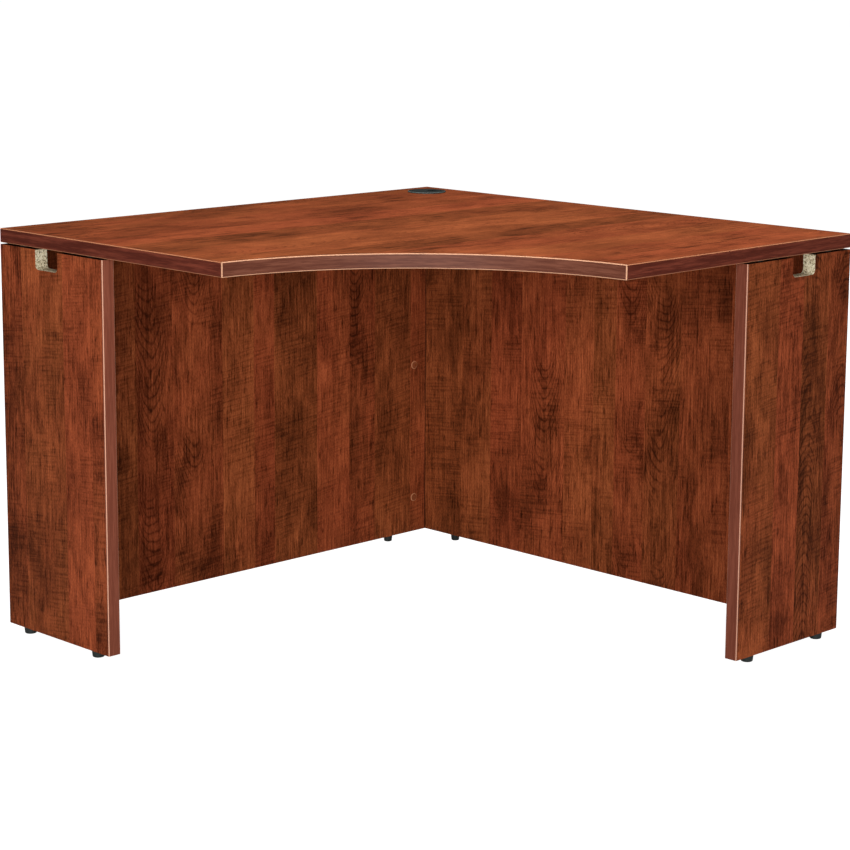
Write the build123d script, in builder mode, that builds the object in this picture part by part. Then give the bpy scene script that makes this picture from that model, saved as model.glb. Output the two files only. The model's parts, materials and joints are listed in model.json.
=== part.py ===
from build123d import *
import os
from math import sqrt

# Corner desk: a concave-front worktop on two end panels and two back panels, put together with cam locks.
# Millimetres, +Z up. The origin is on the floor under the middle of the square that the worktop is cut from.
# The wall corner of the desk is at -X +Y, and the user sits towards +X -Y.

# Worktop
side = 1066.8
return_depth = 609.6
front_radius = 482.6
height = 736.6
top_thickness = 25.4

# Panels
end_thickness = 25.4
end_depth = 295.0
back_thickness = 18.0
reveal = 3.0
floor_gap = 12.0

# Edge bands
band = 3.0
band_arris = 2.0
thin_band = 1.0

# Wire notch in the upper edge of each end panel
notch_width = 63.5
notch_depth = 35.0
notch_setback = 104.0
notch_corner = 8.0

# Grommet
grommet_setback = 73.5
grommet_hole = 63.5
flange_diameter = 77.0
flange_rise = 2.4
flange_edge = 1.0
flange_seat = 0.4
flange_seat_clearance = 0.3
sleeve_clearance = 0.3
sleeve_wall = 2.0
sleeve_length = 20.0
ledge_width = 4.0
ledge_thickness = 1.5
cap_thickness = 3.0
cap_drop = 0.3
cap_clearance = 0.4
skirt_wall = 1.5
skirt_length = 6.0
cable_slot_width = 20.0
cable_slot_start = 6.0

# Cam locks, with their bolts and covers
cam_diameter = 14.8
cam_bore_clearance = 0.1
cam_length = 12.4
cam_setback = 34.0
cam_recess_diameter = 5.0
cam_recess_depth = 2.4
cam_slot_length = 9.0
cam_slot_width = 1.6
bolt_entry_clearance = 0.4
bolt_diameter = 7.0
bolt_neck_diameter = 4.0
bolt_neck_length = 4.0
bolt_head_diameter = 6.6
bolt_head_length = 3.0
bolt_hole_clearance = 0.5
thread_diameter = 6.0
thread_length = 11.0
thread_clearance = 0.05
cover_diameter = 17.0
cover_thickness = 1.2
cover_edge = 0.5
cover_stub_diameter = 4.4
cover_stub_length = 2.0
spacer_diameter = 16.0

# Rows of connectors
cam_rows = 3
cam_row_start = 73.0
cam_row_end = 57.0
end_connector_setback = 50.0
back_connector_setback = 160.0

# Dowels
dowel_diameter = 8.0
dowel_clearance = 0.1
dowel_in_end = 19.0
dowel_in_face = 11.0

# Levelling glides
end_glide_diameter = 23.5
back_glide_diameter = 18.4
glide_taper = 1.2
glide_edge = 2.0
end_glide_rear_setback = 46.0
end_glide_front_setback = 47.0
back_glide_setback = 100.0
stem_diameter = 6.0
stem_reach = 27.0
stem_pocket = 8.0
stem_clearance = 0.08
insert_diameter = 10.0
insert_length = 13.0
insert_clearance = 0.05
stem_hole_clearance = 0.6
stem_hole_margin = 2.0

# Places worked out from the sizes above
half = side / 2
top_underside = height - top_thickness
panel_top = top_underside - reveal
panel_bottom = floor_gap
panel_height = panel_top - panel_bottom
cam_row_pitch = (panel_height - cam_row_start - cam_row_end) / (cam_rows - 1)
left_inner = -half + back_thickness
right_inner = half - back_thickness
left_end_inner = -half + end_thickness
right_end_inner = half - end_thickness
bolt_depth = back_thickness / 2
arc_rise = sqrt(front_radius**2 - (side - return_depth) ** 2 / 2)
arc_centre = return_depth / 2 + arc_rise / sqrt(2)
grommet_x = -half + grommet_setback
grommet_y = half - grommet_setback
glide_clear_depth = stem_reach + stem_hole_margin
diagonal = Plane(origin=(0, 0, 0), x_dir=(0, 0, 1), z_dir=(1, 1, 0))
rising = (Align.CENTER, Align.CENTER, Align.MIN)
sinking = (Align.CENTER, Align.CENTER, Align.MAX)

os.makedirs("parts", exist_ok=True)


def joint_place(origin, towards, outwards):
    """Place of a connector or a dowel: its origin, its X direction and its Z direction."""
    return Location(Plane(origin=origin, x_dir=towards, z_dir=outwards))


def bolt_line_cylinder(start, radius, length, mode=Mode.ADD):
    """A cylinder on a connector's bolt line, from start towards the joint."""
    with Locations(Location((start, 0, -bolt_depth), (0, 90, 0))):
        Cylinder(radius, length, align=rising, mode=mode)


def bolt_section(shank_end):
    """Half section of a cam bolt: head in the cam, neck, shank up to shank_end, and thread beyond it."""
    head_radius = bolt_head_diameter / 2
    neck_radius = bolt_neck_diameter / 2
    shank_radius = bolt_diameter / 2
    thread_radius = thread_diameter / 2
    steps = [
        (-bolt_head_length, 0),
        (-bolt_head_length, head_radius),
        (0, head_radius),
        (0, neck_radius),
        (bolt_neck_length, neck_radius),
        (bolt_neck_length, shank_radius),
        (shank_end, shank_radius),
        (shank_end, thread_radius),
        (shank_end + thread_length, thread_radius),
        (shank_end + thread_length, 0),
    ]
    return [(along, radius - bolt_depth) for along, radius in steps]


# Connector places, row by row: origin on the board's face, X towards the joint, Z out of the face
corner_cams = []
left_end_cams = []
right_end_cams = []
for row in range(cam_rows):
    row_z = panel_bottom + cam_row_start + row * cam_row_pitch
    corner_at = (left_inner, right_inner - cam_setback, row_z)
    left_at = (left_inner, left_end_inner + cam_setback, row_z)
    right_at = (right_end_inner - cam_setback, right_inner, row_z)
    corner_cams.append(joint_place(corner_at, (0, 1, 0), (1, 0, 0)))
    left_end_cams.append(joint_place(left_at, (0, -1, 0), (1, 0, 0)))
    right_end_cams.append(joint_place(right_at, (1, 0, 0), (0, -1, 0)))
left_back_cams = corner_cams + left_end_cams
panel_cam_places = left_back_cams + right_end_cams

# Connectors that hold the worktop down, just under the upper edges of the panels
hang_z = panel_top - cam_setback
left_end_hangers = []
right_end_hangers = []
for setback in (end_connector_setback, end_depth - end_connector_setback):
    left_at = (-half + setback, left_end_inner, hang_z)
    right_at = (right_end_inner, half - setback, hang_z)
    left_end_hangers.append(joint_place(left_at, (0, 0, 1), (0, 1, 0)))
    right_end_hangers.append(joint_place(right_at, (0, 0, 1), (-1, 0, 0)))
left_back_hangers = []
right_back_hangers = []
for setback in (back_connector_setback, side - back_connector_setback):
    left_at = (left_inner, half - setback, hang_z)
    right_at = (-half + setback, right_inner, hang_z)
    left_back_hangers.append(joint_place(left_at, (0, 0, 1), (1, 0, 0)))
    right_back_hangers.append(joint_place(right_at, (0, 0, 1), (0, -1, 0)))
worktop_cam_places = left_end_hangers + right_end_hangers + left_back_hangers + right_back_hangers

# Dowel places, between the rows: origin on the joint, Z into the board that holds the short end
corner_dowels = []
left_end_dowels = []
right_end_dowels = []
for row in range(cam_rows - 1):
    dowel_z = panel_bottom + cam_row_start + (row + 0.5) * cam_row_pitch
    corner_at = (-half + bolt_depth, right_inner, dowel_z)
    left_at = (-half + bolt_depth, left_end_inner, dowel_z)
    right_at = (right_end_inner, half - bolt_depth, dowel_z)
    corner_dowels.append(joint_place(corner_at, (1, 0, 0), (0, 1, 0)))
    left_end_dowels.append(joint_place(left_at, (1, 0, 0), (0, -1, 0)))
    right_end_dowels.append(joint_place(right_at, (0, 1, 0), (1, 0, 0)))
dowel_places = corner_dowels + left_end_dowels + right_end_dowels

# Glide places on the floor, by name, with the glide's diameter
glide_front = end_depth - end_glide_front_setback
left_end_mid = -half + end_thickness / 2
right_end_mid = half - end_thickness / 2
glides = {
    "left_front": ((-half + glide_front, left_end_mid), end_glide_diameter),
    "left_rear": ((-half + end_glide_rear_setback, left_end_mid), end_glide_diameter),
    "left_corner": ((-half + bolt_depth, right_inner - back_glide_setback), back_glide_diameter),
    "right_corner": ((-half + back_glide_setback, half - bolt_depth), back_glide_diameter),
    "right_rear": ((right_end_mid, half - end_glide_rear_setback), end_glide_diameter),
    "right_front": ((right_end_mid, half - glide_front), end_glide_diameter),
}
left_end_glides = [glides["left_front"][0], glides["left_rear"][0]]
right_end_glides = [glides["right_front"][0], glides["right_rear"][0]]
left_back_glides = [glides["left_corner"][0]]
right_back_glides = [glides["right_corner"][0]]

# Cutters: the bores that a connector, a dowel and a glide need in the boards round them
with BuildPart() as cam_bore:
    Cylinder(cam_diameter / 2 + cam_bore_clearance, cam_length, align=sinking)
    bolt_line_cylinder(0, bolt_diameter / 2 + bolt_hole_clearance, cam_setback)

with BuildPart() as panel_thread_bore:
    bolt_line_cylinder(cam_setback, thread_diameter / 2 + thread_clearance, thread_length)

with BuildPart() as worktop_thread_bore:
    bolt_line_cylinder(cam_setback + reveal, thread_diameter / 2 + thread_clearance, thread_length)

with BuildPart() as dowel_end_bore:
    Cylinder(dowel_diameter / 2 + dowel_clearance, dowel_in_end, align=sinking)

with BuildPart() as dowel_face_bore:
    Cylinder(dowel_diameter / 2 + dowel_clearance, dowel_in_face, align=rising)

with BuildPart() as glide_bore:
    with Locations((0, 0, panel_bottom)):
        Cylinder(insert_diameter / 2 + insert_clearance, insert_length, align=rising)
        Cylinder(stem_diameter / 2 + stem_hole_clearance, glide_clear_depth, align=rising)

# Worktop board
with BuildPart() as worktop:
    with BuildSketch(Plane.XY.offset(top_underside)):
        with Locations((-half + thin_band, half - thin_band)):
            Rectangle(
                side - thin_band - band,
                side - thin_band - band,
                align=(Align.MIN, Align.MAX),
            )
        with Locations((arc_centre, -arc_centre)):
            Circle(front_radius + band, mode=Mode.SUBTRACT)
        with Locations((grommet_x, grommet_y)):
            Circle(grommet_hole / 2, mode=Mode.SUBTRACT)
    extrude(amount=top_thickness)
    with BuildSketch(Plane.XY.offset(height)):
        with Locations((grommet_x, grommet_y)):
            Circle(flange_diameter / 2 + flange_seat_clearance)
    extrude(amount=-flange_seat, mode=Mode.SUBTRACT)
    with Locations(*worktop_cam_places):
        add(worktop_thread_bore.part, mode=Mode.SUBTRACT)
worktop.part.label = "worktop"
export_step(worktop.part, "parts/worktop.step")

# Front band: it follows the concave edge and runs out to both ends of the desk
with BuildPart() as worktop_front_band:
    with BuildSketch(Plane.XY.offset(top_underside)):
        with Locations((arc_centre, -arc_centre)):
            Circle(front_radius + band)
            Circle(front_radius, mode=Mode.SUBTRACT)
        Rectangle(side, side, mode=Mode.INTERSECT)
    extrude(amount=top_thickness)
    round_faces = worktop_front_band.faces().filter_by(GeomType.CYLINDER)
    glue_edges = round_faces.sort_by(SortBy.AREA)[-1].edges()
    front_arrises = [edge for edge in worktop_front_band.edges() if edge not in glue_edges]
    fillet(front_arrises, band_arris)
worktop_front_band.part.label = "worktop_front_band"
export_step(worktop_front_band.part, "parts/worktop_front_band.step")

# End band of the worktop's left return, from the wall edge to the back of the front band
with BuildPart() as worktop_left_band:
    with BuildSketch(Plane.XY.offset(top_underside)):
        with Locations((-half, -half)):
            Rectangle(side, band, align=(Align.MIN, Align.MIN))
        with Locations((arc_centre, -arc_centre)):
            Circle(front_radius + band, mode=Mode.SUBTRACT)
    extrude(amount=top_thickness)
    left_band_face = worktop_left_band.faces().sort_by(Axis.Y)[0]
    fillet(left_band_face.edges().filter_by(Axis.X), band_arris)
worktop_left_band.part.label = "worktop_left_band"
export_step(worktop_left_band.part, "parts/worktop_left_band.step")

# Thin bands on the two wall edges of the worktop
with BuildPart() as worktop_left_rear_band:
    with Locations((-half, half, top_underside)):
        Box(thin_band, side - band, top_thickness, align=(Align.MIN, Align.MAX, Align.MIN))
worktop_left_rear_band.part.label = "worktop_left_rear_band"
export_step(worktop_left_rear_band.part, "parts/worktop_left_rear_band.step")

with BuildPart() as worktop_right_rear_band:
    with Locations((half - band, half, top_underside)):
        Box(side - band - thin_band, thin_band, top_thickness, align=(Align.MAX, Align.MAX, Align.MIN))
worktop_right_rear_band.part.label = "worktop_right_rear_band"
export_step(worktop_right_rear_band.part, "parts/worktop_right_rear_band.step")

# Grommet liner: a flanged sleeve with a ledge inside for the cap
sleeve_radius = grommet_hole / 2 - sleeve_clearance
liner_bore = sleeve_radius - sleeve_wall
flange_top = height + flange_rise
flange_bottom = height - flange_seat
cap_top = flange_top - cap_drop
ledge_top = cap_top - cap_thickness
ledge_radius = liner_bore - ledge_width
skirt_radius = ledge_radius - cap_clearance
grommet_axis = Axis((grommet_x, grommet_y, 0), (0, 0, 1))
grommet_plane = Plane(origin=(grommet_x, grommet_y, 0), x_dir=(1, 0, 0), z_dir=(0, -1, 0))

with BuildPart() as grommet_liner:
    with BuildSketch(grommet_plane):
        with BuildLine():
            Polyline(
                (liner_bore, flange_top),
                (flange_diameter / 2, flange_top),
                (flange_diameter / 2, flange_bottom),
                (sleeve_radius, flange_bottom),
                (sleeve_radius, height - sleeve_length),
                (liner_bore, height - sleeve_length),
                (liner_bore, ledge_top - ledge_thickness),
                (ledge_radius, ledge_top - ledge_thickness),
                (ledge_radius, ledge_top),
                (liner_bore, ledge_top),
                close=True,
            )
        make_face()
    revolve(axis=grommet_axis)
    top_circles = grommet_liner.edges().filter_by(GeomType.CIRCLE).group_by(Axis.Z)[-1]
    fillet(top_circles.sort_by(SortBy.RADIUS)[-1], flange_edge)
grommet_liner.part.label = "grommet_liner"
export_step(grommet_liner.part, "parts/grommet_liner.step")

# Grommet cap: a disc on the liner's ledge, with a skirt inside it and a cable slot towards the wall
with BuildPart() as grommet_cap:
    with Locations((grommet_x, grommet_y, ledge_top)):
        Cylinder(liner_bore - cap_clearance, cap_thickness, align=rising)
        Cylinder(skirt_radius, skirt_length, align=sinking)
        Cylinder(skirt_radius - skirt_wall, skirt_length, align=sinking, mode=Mode.SUBTRACT)
    with BuildSketch(Plane.XY.offset(cap_top)):
        with Locations((grommet_x, grommet_y + cable_slot_start)):
            Rectangle(cable_slot_width, liner_bore, align=(Align.CENTER, Align.MIN))
    extrude(amount=-(cap_thickness + skirt_length), mode=Mode.SUBTRACT)
grommet_cap.part.label = "grommet_cap"
export_step(grommet_cap.part, "parts/grommet_cap.step")

# Left end panel with its wire notch
with BuildPart() as left_end_panel:
    with Locations((-half + thin_band, -half, panel_bottom)):
        Box(
            end_depth - thin_band - band,
            end_thickness,
            panel_height,
            align=(Align.MIN, Align.MIN, Align.MIN),
        )
    with BuildSketch(Plane.XZ.offset(half)):
        with Locations((-half + notch_setback, panel_top + notch_corner)):
            RectangleRounded(
                notch_width,
                notch_depth + notch_corner,
                notch_corner,
                align=(Align.MIN, Align.MAX),
            )
    extrude(amount=-end_thickness, mode=Mode.SUBTRACT)
    with Locations(*left_end_hangers):
        add(cam_bore.part, mode=Mode.SUBTRACT)
    with Locations(*left_end_cams):
        add(panel_thread_bore.part, mode=Mode.SUBTRACT)
    with Locations(*left_end_dowels):
        add(dowel_face_bore.part, mode=Mode.SUBTRACT)
    with Locations(*left_end_glides):
        add(glide_bore.part, mode=Mode.SUBTRACT)
left_end_panel.part.label = "left_end_panel"
export_step(left_end_panel.part, "parts/left_end_panel.step")

with BuildPart() as left_end_front_band:
    with Locations((-half + end_depth, -half, panel_bottom)):
        Box(band, end_thickness, panel_height, align=(Align.MAX, Align.MIN, Align.MIN))
    fillet(left_end_front_band.faces().sort_by(Axis.X)[-1].edges().filter_by(Axis.Z), band_arris)
left_end_front_band.part.label = "left_end_front_band"
export_step(left_end_front_band.part, "parts/left_end_front_band.step")

with BuildPart() as left_end_rear_band:
    with Locations((-half, -half, panel_bottom)):
        Box(thin_band, end_thickness, panel_height, align=(Align.MIN, Align.MIN, Align.MIN))
left_end_rear_band.part.label = "left_end_rear_band"
export_step(left_end_rear_band.part, "parts/left_end_rear_band.step")

# The right return is the left one mirrored over the desk's diagonal
mirrored_pieces = {
    "worktop_right_band": worktop_left_band,
    "right_end_panel": left_end_panel,
    "right_end_front_band": left_end_front_band,
    "right_end_rear_band": left_end_rear_band,
}
for right_name, left_piece in mirrored_pieces.items():
    with BuildPart() as right_piece:
        mirror(left_piece.part, about=diagonal)
    right_piece.part.label = right_name
    export_step(right_piece.part, "parts/" + right_name + ".step")

# Left back panel, between the left end panel and the right back panel
with BuildPart() as left_back_panel:
    with Locations((-half, left_end_inner, panel_bottom)):
        Box(
            back_thickness,
            right_inner - left_end_inner,
            panel_height,
            align=(Align.MIN, Align.MIN, Align.MIN),
        )
    with Locations(*left_back_cams, *left_back_hangers):
        add(cam_bore.part, mode=Mode.SUBTRACT)
    with Locations(*corner_dowels, *left_end_dowels):
        add(dowel_end_bore.part, mode=Mode.SUBTRACT)
    with Locations(*left_back_glides):
        add(glide_bore.part, mode=Mode.SUBTRACT)
left_back_panel.part.label = "left_back_panel"
export_step(left_back_panel.part, "parts/left_back_panel.step")

# Right back panel, which runs past the left one into the corner
with BuildPart() as right_back_panel:
    with Locations((-half + thin_band, half, panel_bottom)):
        Box(
            right_end_inner + half - thin_band,
            back_thickness,
            panel_height,
            align=(Align.MIN, Align.MAX, Align.MIN),
        )
    with Locations(*right_end_cams, *right_back_hangers):
        add(cam_bore.part, mode=Mode.SUBTRACT)
    with Locations(*corner_cams):
        add(panel_thread_bore.part, mode=Mode.SUBTRACT)
    with Locations(*corner_dowels):
        add(dowel_face_bore.part, mode=Mode.SUBTRACT)
    with Locations(*right_end_dowels):
        add(dowel_end_bore.part, mode=Mode.SUBTRACT)
    with Locations(*right_back_glides):
        add(glide_bore.part, mode=Mode.SUBTRACT)
right_back_panel.part.label = "right_back_panel"
export_step(right_back_panel.part, "parts/right_back_panel.step")

with BuildPart() as right_back_band:
    with Locations((-half, half, panel_bottom)):
        Box(thin_band, back_thickness, panel_height, align=(Align.MIN, Align.MAX, Align.MIN))
right_back_band.part.label = "right_back_band"
export_step(right_back_band.part, "parts/right_back_band.step")

# One cam lock: a drum with a driver recess, open towards its bolt
with BuildPart() as cam:
    Cylinder(cam_diameter / 2, cam_length, align=sinking)
    Cylinder(cam_recess_diameter / 2, cam_recess_depth, align=sinking, mode=Mode.SUBTRACT)
    Box(cam_slot_length, cam_slot_width, cam_recess_depth, align=sinking, mode=Mode.SUBTRACT)
    bolt_line_cylinder(
        -bolt_head_length,
        bolt_diameter / 2 + bolt_entry_clearance,
        cam_diameter,
        mode=Mode.SUBTRACT,
    )

# One cam bolt for a panel joint: head in the cam, thread in the other panel
bolt_axis = Axis((0, 0, -bolt_depth), (1, 0, 0))
with BuildPart() as panel_bolt:
    with BuildSketch(Plane.XZ):
        with BuildLine():
            Polyline(*bolt_section(cam_setback), close=True)
        make_face()
    revolve(axis=bolt_axis)

# One cam bolt for the worktop: longer by the reveal
with BuildPart() as worktop_bolt:
    with BuildSketch(Plane.XZ):
        with BuildLine():
            Polyline(*bolt_section(cam_setback + reveal), close=True)
        make_face()
    revolve(axis=bolt_axis)

# One cover: a thin disc over the cam, with a stub in the driver recess
with BuildPart() as cover:
    Cylinder(cover_diameter / 2, cover_thickness, align=rising)
    chamfer(cover.faces().sort_by(Axis.Z)[-1].edges(), cover_edge)
    Cylinder(cover_stub_diameter / 2, cover_stub_length, align=sinking)

# One spacer ring on a worktop bolt
with BuildPart() as spacer:
    bolt_line_cylinder(cam_setback, spacer_diameter / 2, reveal)
    bolt_line_cylinder(
        cam_setback,
        bolt_diameter / 2 + bolt_hole_clearance,
        reveal,
        mode=Mode.SUBTRACT,
    )

# One dowel across a panel joint
with BuildPart() as dowel:
    with Locations((0, 0, -dowel_in_end)):
        Cylinder(dowel_diameter / 2, dowel_in_end + dowel_in_face, align=rising)

# One threaded insert in the lower edge of a panel
with BuildPart() as insert:
    with Locations((0, 0, panel_bottom)):
        Cylinder(insert_diameter / 2, insert_length, align=rising)
        Cylinder(stem_diameter / 2 + stem_clearance, insert_length, align=rising, mode=Mode.SUBTRACT)

# Groups of like fittings, each group one node
glide_places = [place for place, diameter in glides.values()]
fitting_groups = {
    "panel_cams": (cam, panel_cam_places),
    "panel_cam_bolts": (panel_bolt, panel_cam_places),
    "panel_cam_covers": (cover, panel_cam_places),
    "worktop_cams": (cam, worktop_cam_places),
    "worktop_cam_bolts": (worktop_bolt, worktop_cam_places),
    "worktop_cam_covers": (cover, worktop_cam_places),
    "worktop_spacers": (spacer, worktop_cam_places),
    "panel_dowels": (dowel, dowel_places),
    "glide_inserts": (insert, glide_places),
}
for group_name, (fitting, places) in fitting_groups.items():
    with BuildPart() as group:
        with Locations(*places):
            add(fitting.part)
    group.part.label = group_name
    export_step(group.part, "parts/" + group_name + ".step")

# Levelling glides: a moulded foot and a steel stem each
for glide_name, ((glide_x, glide_y), glide_diameter) in glides.items():
    with BuildPart() as glide_foot:
        with Locations((glide_x, glide_y, 0)):
            Cone(glide_diameter / 2 - glide_taper, glide_diameter / 2, floor_gap, align=rising)
        fillet(glide_foot.faces().sort_by(Axis.Z)[0].edges(), glide_edge)
        with Locations((glide_x, glide_y, floor_gap)):
            Cylinder(
                stem_diameter / 2 + stem_clearance,
                stem_pocket,
                align=sinking,
                mode=Mode.SUBTRACT,
            )
    glide_foot.part.label = glide_name + "_glide_foot"
    export_step(glide_foot.part, "parts/" + glide_name + "_glide_foot.step")

    with BuildPart() as glide_stem:
        with Locations((glide_x, glide_y, floor_gap - stem_pocket)):
            Cylinder(stem_diameter / 2, stem_pocket + stem_reach, align=rising)
    glide_stem.part.label = glide_name + "_glide_stem"
    export_step(glide_stem.part, "parts/" + glide_name + "_glide_stem.step")
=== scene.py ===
import json
import logging
from dataclasses import dataclass
from enum import Enum
from math import cos, pi, radians, sin, sqrt, tau
from typing import ClassVar, Iterable, Optional, Sequence, Union

import bmesh
import bpy
from mathutils import Matrix, Vector


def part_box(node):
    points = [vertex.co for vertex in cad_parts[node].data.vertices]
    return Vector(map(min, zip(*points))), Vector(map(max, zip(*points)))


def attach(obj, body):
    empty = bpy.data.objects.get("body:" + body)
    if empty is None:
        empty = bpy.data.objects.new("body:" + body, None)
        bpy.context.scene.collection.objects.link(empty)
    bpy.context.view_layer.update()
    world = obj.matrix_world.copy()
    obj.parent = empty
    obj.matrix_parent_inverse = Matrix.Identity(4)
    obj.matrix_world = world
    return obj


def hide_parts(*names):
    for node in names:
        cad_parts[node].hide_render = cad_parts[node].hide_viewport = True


# Corner desk in cherry woodgrain laminate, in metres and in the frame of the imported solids: +Z up, the
# wall corner at -X +Y, the user towards +X -Y.

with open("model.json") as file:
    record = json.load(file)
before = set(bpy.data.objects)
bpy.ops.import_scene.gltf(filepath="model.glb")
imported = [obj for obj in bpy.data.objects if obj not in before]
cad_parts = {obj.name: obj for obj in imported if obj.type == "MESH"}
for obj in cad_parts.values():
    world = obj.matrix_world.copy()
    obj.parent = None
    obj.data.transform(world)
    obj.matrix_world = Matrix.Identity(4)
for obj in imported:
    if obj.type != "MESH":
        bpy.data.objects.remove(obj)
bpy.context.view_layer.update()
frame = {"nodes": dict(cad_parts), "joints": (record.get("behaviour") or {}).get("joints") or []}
log = logging.getLogger("corner_desk")

Colour = tuple[float, float, float]
Point = tuple[float, float, float]
Signal = Union[float, Colour, bpy.types.NodeSocket]

DESK = "desk"
ARRIS = "arris"
UP = Vector((0.0, 0.0, 1.0))
ON_PLANE = 1e-7
SAME_PLACE = 1e-6
ON_CIRCLE = 1e-5
SMOOTH_BELOW = radians(38)
SHARP_ABOVE = radians(45)


class NodeGraph:
    """A node tree, with short calls for the nodes that the finishes are made of."""

    def __init__(self, tree: bpy.types.NodeTree) -> None:
        """Keep the tree that the nodes are added to."""
        self.tree = tree

    def add(self, kind: str, **settings: object) -> bpy.types.Node:
        """Add a node.

        Args:
            kind: Blender's name of the node after ShaderNode.
            settings: properties to set on the node.

        Returns:
            The new node.
        """
        node = self.tree.nodes.new("ShaderNode" + kind)
        for name, value in settings.items():
            setattr(node, name, value)
        return node

    def feed(self, socket: bpy.types.NodeSocket, value: Signal) -> None:
        """Link a socket to a signal, or set the socket's own value.

        Args:
            socket: the input to feed.
            value: an output socket, a number or a colour.
        """
        if isinstance(value, bpy.types.NodeSocket):
            self.tree.links.new(value, socket)
        elif socket.type == "RGBA":
            socket.default_value = (*value, 1.0)
        else:
            socket.default_value = value

    def math(self, operation: str, *values: Signal) -> bpy.types.NodeSocket:
        """Work out a number.

        Args:
            operation: Blender's name of the operation.
            values: the numbers or signals that it takes.

        Returns:
            The result.
        """
        node = self.add("Math", operation=operation)
        for socket, value in zip(node.inputs, values):
            self.feed(socket, value)
        return node.outputs[0]

    def vector(self, x: Signal, y: Signal, z: Signal) -> bpy.types.NodeSocket:
        """Put three signals together as a vector.

        Args:
            x: first part.
            y: second part.
            z: third part.

        Returns:
            The vector.
        """
        node = self.add("CombineXYZ")
        for socket, value in zip(node.inputs, (x, y, z)):
            self.feed(socket, value)
        return node.outputs[0]

    def noise(self, place: Signal, detail: float, roughness: float = 0.5) -> bpy.types.NodeSocket:
        """Smooth noise about 0.5.

        Args:
            place: where to read it, already scaled.
            detail: number of finer layers.
            roughness: how much the finer layers count.

        Returns:
            The noise value.
        """
        node = self.add("TexNoise", noise_dimensions="3D")
        self.feed(node.inputs["Vector"], place)
        self.feed(node.inputs["Scale"], 1.0)
        self.feed(node.inputs["Detail"], detail)
        self.feed(node.inputs["Roughness"], roughness)
        return node.outputs["Fac"]

    def lean(self, value: Signal, gain: float) -> bpy.types.NodeSocket:
        """Turn a value about 0.5 into a swing about zero, with a gain."""
        return self.math("MULTIPLY_ADD", value, gain, -gain / 2)

    def total(self, values: Sequence[Signal]) -> bpy.types.NodeSocket:
        """Add up several values.

        Args:
            values: at least two numbers or signals.

        Returns:
            Their sum.
        """
        result = values[0]
        for value in values[1:]:
            result = self.math("ADD", result, value)
        return result

    def step(self, value: Signal, low: float, high: float) -> bpy.types.NodeSocket:
        """Rise smoothly from 0 to 1.

        Args:
            value: the signal.
            low: value where the rise starts.
            high: value where it ends; below low, the step falls instead.

        Returns:
            The step, from 0 to 1.
        """
        node = self.add("MapRange", interpolation_type="SMOOTHSTEP")
        rising = high > low
        self.feed(node.inputs["Value"], value)
        self.feed(node.inputs["From Min"], min(low, high))
        self.feed(node.inputs["From Max"], max(low, high))
        self.feed(node.inputs["To Min"], 0.0 if rising else 1.0)
        self.feed(node.inputs["To Max"], 1.0 if rising else 0.0)
        return node.outputs[0]

    def between(self, value: Signal, low: float, high: float) -> bpy.types.NodeSocket:
        """Spread a 0 to 1 signal over a range.

        Args:
            value: the signal.
            low: result at 0.
            high: result at 1.

        Returns:
            The spread signal.
        """
        return self.math("MULTIPLY_ADD", value, high - low, low)

    def mix(self, share: Signal, first: Signal, second: Signal) -> bpy.types.NodeSocket:
        """Mix two colours.

        Args:
            share: share of the second colour, from 0 to 1.
            first: colour at 0.
            second: colour at 1.

        Returns:
            The mixed colour.
        """
        node = self.add("Mix", data_type="RGBA")
        colours = [socket for socket in node.inputs if socket.type == "RGBA"]
        self.feed(node.inputs[0], share)
        self.feed(colours[0], first)
        self.feed(colours[1], second)
        return next(socket for socket in node.outputs if socket.type == "RGBA")

    def ramp(self, value: Signal, stops: Sequence[tuple[float, Colour]]) -> bpy.types.NodeSocket:
        """Colour a value.

        Args:
            value: the signal, from 0 to 1.
            stops: places on the ramp with their colours, in order.

        Returns:
            The colour.
        """
        node = self.add("ValToRGB")
        elements = node.color_ramp.elements
        while len(elements) < len(stops):
            elements.new(1.0)
        for element, (place, colour) in zip(elements, stops):
            element.position = place
            element.color = (*colour, 1.0)
        self.feed(node.inputs[0], value)
        return node.outputs["Color"]

    def object_place(self) -> bpy.types.NodeSocket:
        """Give the place on the piece, in metres."""
        return self.add("TexCoord").outputs["Object"]

    def stretched(self, place: Signal, scale: Sequence[float]) -> bpy.types.NodeSocket:
        """Scale a place along its three axes.

        Args:
            place: the place to scale.
            scale: scale along X, Y and Z.

        Returns:
            The scaled place.
        """
        node = self.add("Mapping")
        self.feed(node.inputs["Vector"], place)
        self.feed(node.inputs["Scale"], scale)
        return node.outputs[0]

    def bump(self, height: Signal, depth: float, strength: float) -> bpy.types.NodeSocket:
        """Turn a height into a normal.

        Args:
            height: the height, from 0 to 1.
            depth: what a height of 1 stands for, in metres.
            strength: share of the effect, from 0 to 1.

        Returns:
            The normal.
        """
        node = self.add("Bump")
        self.feed(node.inputs["Height"], height)
        self.feed(node.inputs["Distance"], depth)
        self.feed(node.inputs["Strength"], strength)
        return node.outputs[0]


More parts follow.
